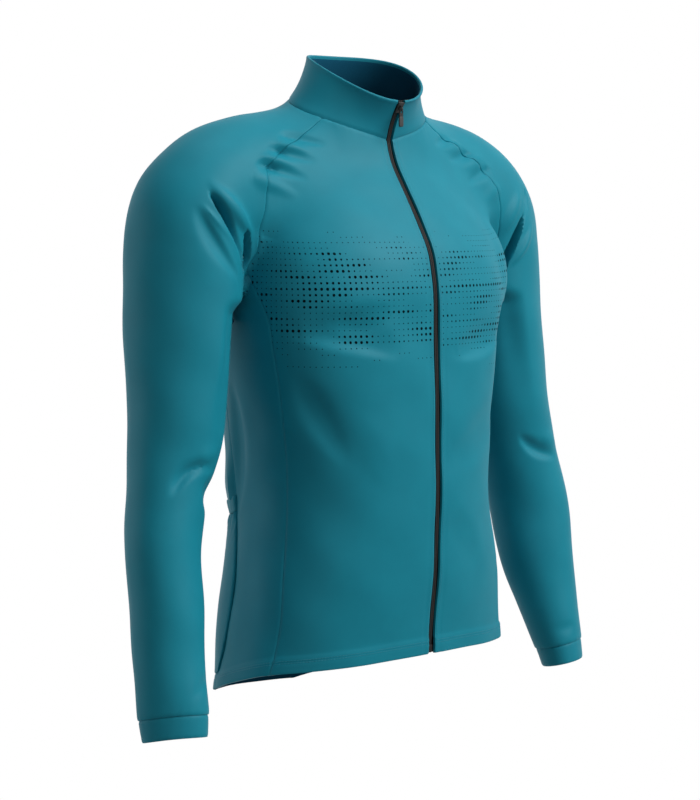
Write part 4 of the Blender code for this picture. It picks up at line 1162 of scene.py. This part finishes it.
def sleeveRings(at, count):
    turn = np.linspace(0, 2 * np.pi, count, endpoint=False)
    station = np.repeat(np.asarray(at, float)[:, None], count, 1)
    turn = np.broadcast_to(turn, station.shape)
    return settled(roundSleeve(station, turn, sleeveHalf(station).mean(-1)))


def cuffStation(height):
    run = runAlong(centres)
    return np.interp(run[-1] - height, run, stations)


sleeve = {
    "yokeRows": 34,
    "armRows": 66,
    "flat": (0.42, 0.66),
    "area": 0.19,
    "creasedReach": 0.3,
    "creasedSpacing": 1.9 * mm,
    "plainSpacing": 3.4 * mm,
    "standOff": 8.5 * mm,  # how far the inner side stands away from the trunk
    "standOffRise": (-184, -201),  # mm of height where it begins and is full
    "standOffFall": (-215, -340),
    "innerWay": (-0.74, -0.67, 0),  # the way the inner side faces
}
cuff = {"flat": (0.2, 0.021)}


def sleeveGrid():
    half = counts["side"] // 2
    shoulder = neckLine(np.linspace(arm["frontTurn"], arm["backTurn"], counts["shoulder"] + 1))
    loop = np.vstack([underarm[half::-1], frontRaglan[1:], shoulder[1:-1], backRaglan[::-1],
                      underarm[-2:half:-1]])
    count = len(loop)
    ringAt = arm["ringStation"]
    firstRing = sleeveRings([ringAt], count)[0]
    station = nearestStation(loop)
    offset = loop - sleeveCentre(station)
    along, aft, out = sleeveAxes(station)
    rearward, outward = (offset * aft).sum(-1), (offset * out).sum(-1)
    turn = np.arctan2(-rearward, -outward) % (2 * np.pi)
    turn[0] = 0
    reach, slide = np.hypot(rearward, outward), (offset * along).sum(-1)
    even = np.linspace(0, 2 * np.pi, count, endpoint=False)
    lastReach = np.linalg.norm(firstRing - sleeveCentre(ringAt), axis=-1)
    share = np.linspace(0, 1, sleeve["yokeRows"] + 1)[:, None]
    smooth = share**2 * (3 - 2 * share)
    yoke = settled(roundSleeve(
        station * (1 - share) + ringAt * share, turn * (1 - smooth) + even * smooth,
        reach * (1 - share) + lastReach * share, slide * (1 - share) ** 2))
    yoke[0], yoke[-1] = loop, firstRing
    rings = np.linspace(ringAt, cuffStation(arm["cuffHeight"]), sleeve["armRows"] + 1)[1:]
    return np.concatenate([yoke, sleeveRings(rings, count)])


def fineTube(grid, spacing, rowShares, closer=0.0):
    # a closed grid refined round and along, closer towards the underarm
    padded = np.concatenate([grid[:, -2:], grid, grid[:, :3]], axis=1)
    count = grid.shape[1]
    girth = float(runsOf(grid, 1)[:, -1].mean())
    fineCount = int(round(girth / spacing))
    even = np.arange(fineCount) / fineCount
    even = even - closer * np.sin(2 * np.pi * even) / (2 * np.pi)
    at = (2 + even * count) / (padded.shape[1] - 1)
    return refined(padded, rowShares, at)


armGrid = sleeveGrid()
armLength = float(runsOf(armGrid, 0)[-1].mean())
ends = sharesAlong(armLength, armLength / 4)
creasedEnd = sleeve["creasedReach"]
armShares = np.r_[
    ends[:4],
    np.arange(ends[3] + 2 * mm / armLength, creasedEnd, sleeve["creasedSpacing"] / armLength),
    np.linspace(creasedEnd, ends[-4], int(armLength * (1 - creasedEnd) / sleeve["plainSpacing"])),
    ends[-3:]]
armFine = fineTube(armGrid, 2.2 * mm, armShares, 0.4)


def standOff(grid):
    # the arm hangs a little away from the body
    facing = formNormal(grid) @ np.array(sleeve["innerWay"])
    height = grid[..., 2] / mm
    amount = smoothStep(*sleeve["standOffRise"], height)
    amount = amount * (1 - smoothStep(*sleeve["standOffFall"], height))
    return sleeve["standOff"] * amount * smoothStep(0.66, 0.98, facing)


for side, word in ((1, "left"), (-1, "right")):
    panelPiece(f"sleeve_{word}_cloth", f"sleeve_{word}", armFine, side, flat=sleeve["flat"],
               area=sleeve["area"], closed=True, settle=standOff(armFine))
print("sleeves made")

cuffGrid = sleeveRings(np.linspace(cuffStation(arm["cuffHeight"]), cuffStation(0), 9),
                       armGrid.shape[1])
cuffFine = fineTube(cuffGrid, 2.2 * mm, sharesAlong(arm["cuffHeight"], 2 * mm, (0.5, 1.1, 2.0)))
for side, word in ((1, "left"), (-1, "right")):
    panelPiece(f"cuff_{word}_cloth", f"cuff_{word}", cuffFine, side, flat=cuff["flat"],
               materials=[knitCuff, knitInsidePaintedShade], slot="cuff_knit", closed=True,
               thick=cloth["turned"], settle=np.full(cuffFine.shape[:2], arm["cuffStep"]))
print("cuffs made")


# collar

collar = {
    "rimHalfWidth": 62 * mm,
    "rimHalfDepth": 55 * mm,
    "rimCentreY": -11 * mm,
    "rimHeight": 39.5 * mm,
    "rimTilt": 25 * mm,
    "rimSaddle": 5.5 * mm,
    "hollow": 2.5 * mm,
    "top": 0.97,  # share of the height where the fold begins
    "foldSteps": 7,
    "thickness": 2.9 * mm,
    "bead": 0.45 * mm,
    "flat": (0.37, 0.05),
}


def rimPoint(turn):
    turn = np.radians(np.asarray(turn, float))
    height = collar["rimHeight"] - collar["rimTilt"] * np.cos(turn)
    height = height - collar["rimSaddle"] * np.cos(2 * turn)
    return np.stack([collar["rimHalfWidth"] * np.sin(turn),
                     collar["rimCentreY"] - collar["rimHalfDepth"] * np.cos(turn), height], -1)


def collarRows(turns, shares):
    foot, rim = neckLine(turns), rimPoint(turns)
    out = unit(foot * np.array([1, 1, 0]) - np.array([0, trunk["neckCentre"], 0]))
    share = np.asarray(shares, float)[:, None, None]
    return foot * (1 - share) + rim * share - out * 4 * share * (1 - share) * collar["hollow"]


def gridNormal(grid):
    return unit(np.cross(np.gradient(grid, axis=1), np.gradient(grid, axis=0)))


def makeCollar():
    first = np.degrees(np.arcsin(zipper["edge"] / zipper["neckRadius"]))
    turns = np.linspace(first, 180, 81)
    half = collarRows(turns, np.r_[0, 0.015, 0.035, 0.07, np.linspace(0.12, collar["top"], 18)])
    outer = np.concatenate([half, mirrored(half[:, -2::-1])], axis=1)
    normals = gridNormal(outer)
    normals[0] = formNormal(outer[0])
    up = unit(np.gradient(outer, axis=0))
    outer = drawnBack(outer, normals, cloth["seamGap"], False)
    half = collar["thickness"] / 2
    bead = collar["bead"] * np.exp(-((np.linspace(1, 0, len(outer)) / 0.05) ** 2))
    outer = outer + normals * bead[:, None, None]
    middle = outer[-1] - normals[-1] * half
    folds = np.linspace(0, np.pi / 2, collar["foldSteps"])[1:]
    crown = np.stack([middle + normals[-1] * half * np.cos(a) + up[-1] * half * np.sin(a)
                      for a in folds])
    lining = np.stack([middle - normals[-1] * half * np.cos(a) + up[-1] * half * np.sin(a)
                       for a in folds])
    lining[-1] -= normals[-1] * 0.02 * mm
    rise = runsOf(outer, 0)
    dip = 0.6 * mm * np.exp(-((rise / (1.4 * mm)) ** 2))
    dip = dip + 0.3 * mm * drift(outer, 22 * mm) * smoothStep(0, 8, rise / mm)
    inner = outer - normals * collar["thickness"]
    outer = outer - normals * dip[..., None]
    mesh, inside = clothMesh("collar_cloth", np.concatenate([outer, crown]),
                             np.concatenate([inner, lining]))
    columns = outer.shape[1] - 1
    quads = (len(outer) + len(crown) - 1) * columns
    inside[2 * quads - columns * (len(crown) + 1):2 * quads] = 0
    piece = addPiece("collar_cloth", mesh, [knitCollar, knitInsidePaintedShade], "jacket",
                     sharp=60, inside=inside)
    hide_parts("collar")


makeCollar()
print("collar made")


# the zip

def zipLineAt(across):
    # the outer face at a distance from the middle, from the hem up to the collar's fold
    heights = np.linspace(hemHeight(0.0), neckHeight(0.0), 75)[:-1]
    stand = collarRows([np.degrees(np.arcsin(across / zipper["neckRadius"]))],
                       np.linspace(0, collar["top"], 9))[:, 0]
    stand[:, 0] = across
    return np.vstack([struckAhead(np.full(len(heights), across), heights), stand])


def profileNormal(line):
    along = unit(np.gradient(line, axis=0))
    return np.stack([0 * along[:, 0], -along[:, 2], along[:, 1]], -1)


def makeTapes():
    reach = np.array([0.15, 1.5, 2.6, 4.2, 7, 10, 13]) * mm
    grid = np.stack([zipLineAt(across) for across in reach], axis=1)
    length = runAlong(grid[:, 0])[-1]
    grid = curveThrough(np.linspace(0, 1, len(grid)), grid)(np.linspace(0, 1, int(length / (3 * mm))))
    normals = np.repeat(profileNormal(grid[:, 0])[:, None], len(reach), 1)
    for side, word in ((1, "left"), (-1, "right")):
        flip = np.array([side, 1, 1])
        # the tape lies at one depth behind the chain and the fronts' turned edges
        face = (grid - normals * zipper["tapeDepth"]) * flip
        facing = normals * flip
        name = f"zip_tape_{word}_woven"
        mesh, inside = clothMesh(name, face, face - facing * zipper["tapeThickness"], mirror=side < 0)
        piece = addPiece(name, mesh, [tapeBlack], "jacket")
        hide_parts(f"zip_tape_{word}")


def makeChain():
    # two rows of coil that meet in the middle; outside the tape is folded over them, and inside
    # their ribs show
    middle = zipLineAt(0.0)
    length = runAlong(middle)[-1]
    count = int(length / zipper["pitch"] * 4)
    line = curveThrough(runAlong(middle), middle)(np.linspace(0.3 * mm, length, count))
    normals = profileNormal(line)
    run = np.linspace(0, length, count)
    outerX = np.array([0.06, 0.3, 0.7, 1.15, 1.6, 2.0, 2.3])
    outerDepth = 1.3 + 0.8 * np.abs((outerX - 1.15) / 1.15) ** 2.4
    innerX = np.array([2.3, 1.9, 1.15, 0.45, 0.06])
    innerDepth = np.array([2.45, 2.7, 2.7, 2.7, 2.5])
    x = np.r_[outerX, innerX] * mm
    depth = np.r_[outerDepth, innerDepth] * mm
    ribs = np.r_[0, 0.5, 1, 1, 1, 0.5, 0, 0, -2, -3, -2, 0] * 0.07 * mm
    meshes = []
    for side in (1, -1):
        wave = 0.5 + 0.5 * np.cos(2 * np.pi * (run / zipper["pitch"] + 0.25 * side))
        drop = depth + ribs * (1 - wave[:, None])
        points = line[:, None] - normals[:, None] * drop[..., None]
        points[..., 0] = side * x
        meshes.append(points)
    size = count * len(x)
    faces = ringFaces(np.arange(size).reshape(count, len(x)))
    other = [[k + size for k in face[::-1]] for face in faces]
    mesh = meshOf("zip_chain", meshes, faces + other)
    piece = addPiece("zip_chain", mesh, [coilGrey], "jacket", sharp=50)
    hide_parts("zip_coil")


makeTapes()
makeChain()
for nodeName in ("zip_slider", "zip_pull"):
    for place in bpy.data.objects[nodeName].material_slots:
        place.material = paintBlack


def roundedSlab(width, length, thickness, corner, edge=0.7 * mm):
    # a slab with a rounded outline and rounded edges, lying across X and along -Z from its top
    turn = np.linspace(0, 2 * np.pi, 48, endpoint=False)
    power = 2 / corner
    sine, cosine = np.sin(turn), np.cos(turn)
    outline = np.stack([np.sign(cosine) * np.abs(cosine) ** power * width / 2,
                        np.sign(sine) * np.abs(sine) ** power * length / 2], -1)
    bend = np.linspace(-np.pi / 2, np.pi / 2, 9)
    rings = []
    for a in bend:
        shrink = edge * (1 - np.cos(a))
        scale = np.array([1 - 2 * shrink / width, 1 - 2 * shrink / length])
        depth = -(thickness / 2 - edge) * np.sign(a) - edge * np.sin(a)
        ring = outline * scale
        rings.append(np.stack([ring[:, 0], np.full(len(ring), depth), ring[:, 1] - length / 2], -1))
    index = np.arange(len(bend) * len(turn)).reshape(len(bend), len(turn))
    return np.concatenate(rings), ringFaces(index)


pullGrip = {"size": (5.6 * mm, 10.4 * mm, 2.0 * mm), "corner": 5.5, "drop": 7.4 * mm}


def makePullGrip():
    # a grey grip moulded over the lower part of the tab
    pivot = np.array(frame["record"]["behaviour"]["joints"][0]["pos_m"])
    points, faces = roundedSlab(*pullGrip["size"], pullGrip["corner"])
    mesh = meshOf("pull_grip", points + pivot - [0, 0, pullGrip["drop"]], faces)
    addPiece("pull_grip", mesh, [paintGrey], "pull", sharp=60)


zipBox = {"size": (6.6 * mm, 8 * mm, 2.3 * mm), "corner": 6, "clear": 0.4 * mm, "depth": 1.9 * mm}


def makeZipBox():
    # the moulded foot where the two halves of the zip go together
    middle = zipLineAt(0.0)
    normal = profileNormal(middle)[0]
    points, faces = roundedSlab(*zipBox["size"], zipBox["corner"])
    up = unit(middle[2] - middle[0])
    top = middle[0] + up * (zipBox["size"][1] + zipBox["clear"]) - normal * zipBox["depth"]
    points = top + points[:, :1] * [1, 0, 0] + points[:, 1:2] * -normal + points[:, 2:] * up
    mesh = meshOf("zip_foot", points, faces)
    addPiece("zip_foot", mesh, [coilGrey], "jacket", sharp=60)


makePullGrip()
makeZipBox()
print("zip made")


# lights, floor and camera

studio = {
    "target": (0, 0, -0.25),
    "azimuth": -42,
    "elevation": 4,
    "distance": 2.3,
    "lens": 100.5,
    "shift": (-0.01, -0.055),
    "floor": -2.4,
    "floorFade": (0.7, 1.9, 0.55),  # metres where it starts and ends, and the white at the start
    "world": 0.045,
    # azimuth, elevation, distance, size, watts and tint
    "lamps": (
        ("key_light", 28, 36, 4.5, 2.8, 205, (1, 0.985, 0.96)),
        ("rim_light", -134, 4, 3.5, 2.2, 23, (0.95, 0.985, 1)),
        ("fill_light", -42, 10, 4, 2.5, 16, (0.95, 0.985, 1)),
        ("top_light", -40, 85, 2.4, 1.5, 14, (1, 1, 1)),
    ),
}


def standAt(thing, azimuth, elevation, distance):
    # round the target, and turned to it
    a, e = np.radians(azimuth), np.radians(elevation)
    back = Vector((np.sin(a) * np.cos(e), -np.cos(a) * np.cos(e), np.sin(e)))
    thing.location = Vector(studio["target"]) + back * distance
    thing.rotation_mode = "QUATERNION"
    thing.rotation_quaternion = (-back).to_track_quat("-Z", "Y")
    bpy.context.scene.collection.objects.link(thing)


def addLamps():
    for name, azimuth, elevation, distance, size, watts, tint in studio["lamps"]:
        data = bpy.data.lights.new(name, "AREA")
        data.shape = "DISK"
        data.size = size
        data.energy = watts
        data.color = tint
        standAt(bpy.data.objects.new(name, data), azimuth, elevation, distance)


def whereSeen(tree, *kinds):
    # 1 for rays of these kinds
    rays = node(tree, "LightPath")
    seen = rays.outputs[f"Is {kinds[0]} Ray"]
    for kind in kinds[1:]:
        seen = node(tree, "Math MAXIMUM", seen, rays.outputs[f"Is {kind} Ray"])
    return seen


def makeWorld():
    world = bpy.data.worlds.new("studio")
    bpy.context.scene.world = world
    world.use_nodes = True
    tree = world.node_tree
    fill = tree.nodes["Background"]
    feed(fill, {"Color": (1, 1, 1, 1), "Strength": studio["world"]})
    white = node(tree, "Background", Color=(1, 1, 1, 1), Strength=1.0)
    seen = whereSeen(tree, "Camera", "Glossy", "Transmission")
    feed(tree.nodes["World Output"], {"Surface": node(tree, "MixShader", seen, fill, white)})


def makeFloor():
    # a plain pale floor that keeps the shadow near the jacket and fades into the white backdrop
    side = 12
    corners = [(-side, -side, 0), (side, -side, 0), (side, side, 0), (-side, side, 0)]
    mesh = meshOf("floor", corners, [(0, 1, 2, 3)])
    floor = bpy.data.objects.new("floor", mesh)
    floor.location = (0, 0, studio["floor"])
    bpy.context.scene.collection.objects.link(floor)
    material, tree, shader = newMaterial("whiteStudioFloor")
    feed(shader, {"Base Color": linear("a8a8a8"), "Roughness": 0.9})
    place = node(tree, "TexCoord")
    distance = node(tree, "VectorMath LENGTH", place.outputs["Object"])
    far = node(tree, "MapRange", distance.outputs["Value"], *studio["floorFade"])
    seen = node(tree, "Math MULTIPLY", far, whereSeen(tree, "Camera", "Glossy"))
    white = node(tree, "Emission", Color=(1, 1, 1, 1), Strength=1.0)
    mix = node(tree, "MixShader", seen, shader, white)
    feed(tree.nodes["Material Output"], {"Surface": mix})
    mesh.materials.append(material)


def makeCamera():
    data = bpy.data.cameras.new("camera")
    data.lens = studio["lens"]
    data.shift_x, data.shift_y = studio["shift"]
    data.clip_end = 50
    camera = bpy.data.objects.new("camera", data)
    standAt(camera, studio["azimuth"], studio["elevation"], studio["distance"])
    bpy.context.scene.camera = camera


addLamps()
makeWorld()
makeFloor()
makeCamera()
bpy.context.scene.view_settings.view_transform = "Standard"
print("studio made")
